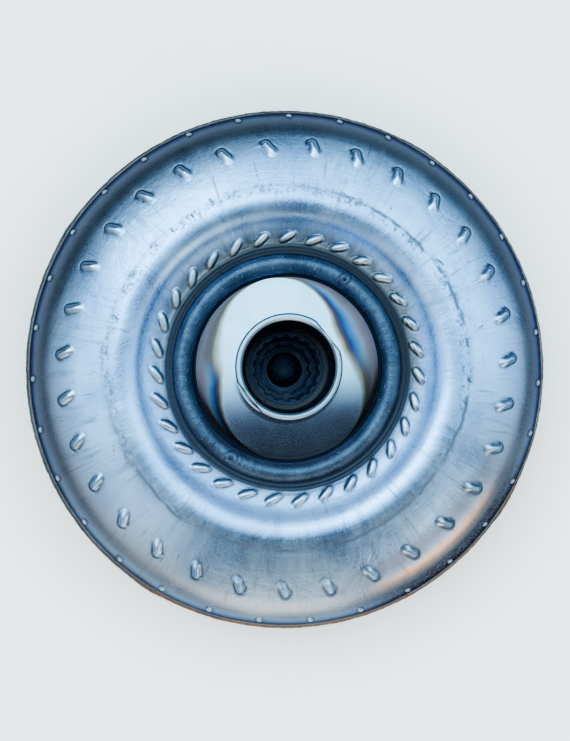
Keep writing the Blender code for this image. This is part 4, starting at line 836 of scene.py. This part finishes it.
def sky():
    """A plain soft sky, dim below and bright above in the picture, with a ring of light and five glows."""
    world = bpy.data.worlds.new("studio")
    world.use_nodes = True
    bpy.context.scene.world = world
    made = Nodes(world.node_tree)
    x, y, up = made.split(made.node("ShaderNodeTexCoord", out="Generated"))
    u = x * IMAGE_RIGHT.x + y * IMAGE_RIGHT.y
    v = x * IMAGE_UP.x + y * IMAGE_UP.y
    flat = (u * u + v * v).math("SQRT").math("MAXIMUM", 0.001)

    def facing(image_angle, low, high):
        turn = radians(image_angle)
        return made.step((u * math.cos(turn) + v * math.sin(turn)) / flat,
                         math.cos(radians(high)), math.cos(radians(low)))

    def glow(image_angle, tilt, near_by, far):
        turn, lean = radians(image_angle), radians(tilt)
        aimed = (u * math.cos(turn) * math.sin(lean) + v * math.sin(turn) * math.sin(lean)
                 + up * math.cos(lean))
        return made.step(aimed, math.cos(radians(far)), math.cos(radians(near_by)))

    upper = made.step(v - u * 0.12, -0.045, 0.03) * made.step(up, 0.50, 0.90)
    ring = made.band(up, 0.74, 0.92, 0.07) * facing(110.0, 108.0, 140.0)
    light = 0.05 + made.step(up, 0.998, 0.94) * 0.16 + upper * 4.7 + ring * 2.6
    light = light * (1.0 - facing(132.0, 25.0, 72.0) * made.step(up, 0.91, 0.72) * 0.72)
    for image_angle, tilt, near_by, far, strength in (
        (268.0, 70.0, 7.0, 27.0, 6.0), (0.0, 56.0, 6.0, 22.0, 3.4), (226.0, 56.0, 6.0, 24.0, 1.8),
        (312.0, 56.0, 5.0, 19.0, 6.5), (183.0, 56.0, 5.0, 20.0, 3.0),
    ):
        light = light + glow(image_angle, tilt, near_by, far) * strength
    light = light + made.step(up, 0.30, 0.02) * 0.30
    tone = made.node("ShaderNodeValToRGB", {"stops": (
        (0.05, (1.0, 0.78, 0.58)), (0.34, (0.95, 0.90, 0.82)), (0.48, (0.64, 0.88, 1.0)),
        (0.58, (0.52, 0.86, 1.0)),
    )}, {0: v * 0.5 + 0.5})
    colour = made.mix(1.0, made.vector(light, light, light), tone, "MULTIPLY")
    made.put(made.tree.nodes["Background"].inputs["Color"], colour)


def studio():
    """A pale floor, greyer far out, that glows as painted light round the part but not right beside it, which
    leaves a painted shadow there; the sky, and one soft white light from the upper left.
    """
    bpy.ops.mesh.primitive_plane_add(size=60.0, location=(0, 0, -0.0004))
    floor = bpy.context.object
    floor.name = "floor"
    look = Look("floor", Roughness=0.85)
    far = look.step(look.radius, 280.0, 620.0)
    look.colour(look.mix(far, (0.94, 0.94, 0.93), (0.50, 0.50, 0.50)))
    # Painted light: the floor glows round the part, and the ring beside the part that does not glow is a
    # painted shadow
    lit = look.step(look.radius, 140.0, 215.0) * (1.0 - far)
    look.put(look.shader.inputs["Emission Color"], look.mix(lit, (0.0, 0.0, 0.0), (1.0, 1.0, 1.0)))
    look.put(look.shader.inputs["Emission Strength"], 1.4)
    floor.data.materials.append(look.material)
    sky()
    out = IMAGE_RIGHT * math.cos(radians(128.0)) + IMAGE_UP * math.sin(radians(128.0))
    away = out * math.sin(radians(27.0)) + Vector((0, 0, math.cos(radians(27.0))))
    data = bpy.data.lights.new("upper left light", "AREA")
    data.shape, data.size, data.size_y = "RECTANGLE", 0.9, 0.9
    data.energy, data.color = 30.0, (0.62, 0.90, 1.0)
    lamp = bpy.data.objects.new("upper left light", data)
    lamp.location = Vector((0, 0, 0.10)) + away * 2.0
    lamp.rotation_euler = away.to_track_quat("Z", "Y").to_euler()
    bpy.context.scene.collection.objects.link(lamp)


impeller_skin()
hub_bead()
closure_bead()
pilot_bead()
pump_hub()
cover_dish()
pilot_boss()
for number in range(4):
    drive_piece(number)

for name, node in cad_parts.items():
    for slot in node.material_slots:
        key = slot.material.name.replace(" ", "_") if slot.material else ""
        slot.material = FINISH.get(key, FINISH["machined_steel"])

studio()
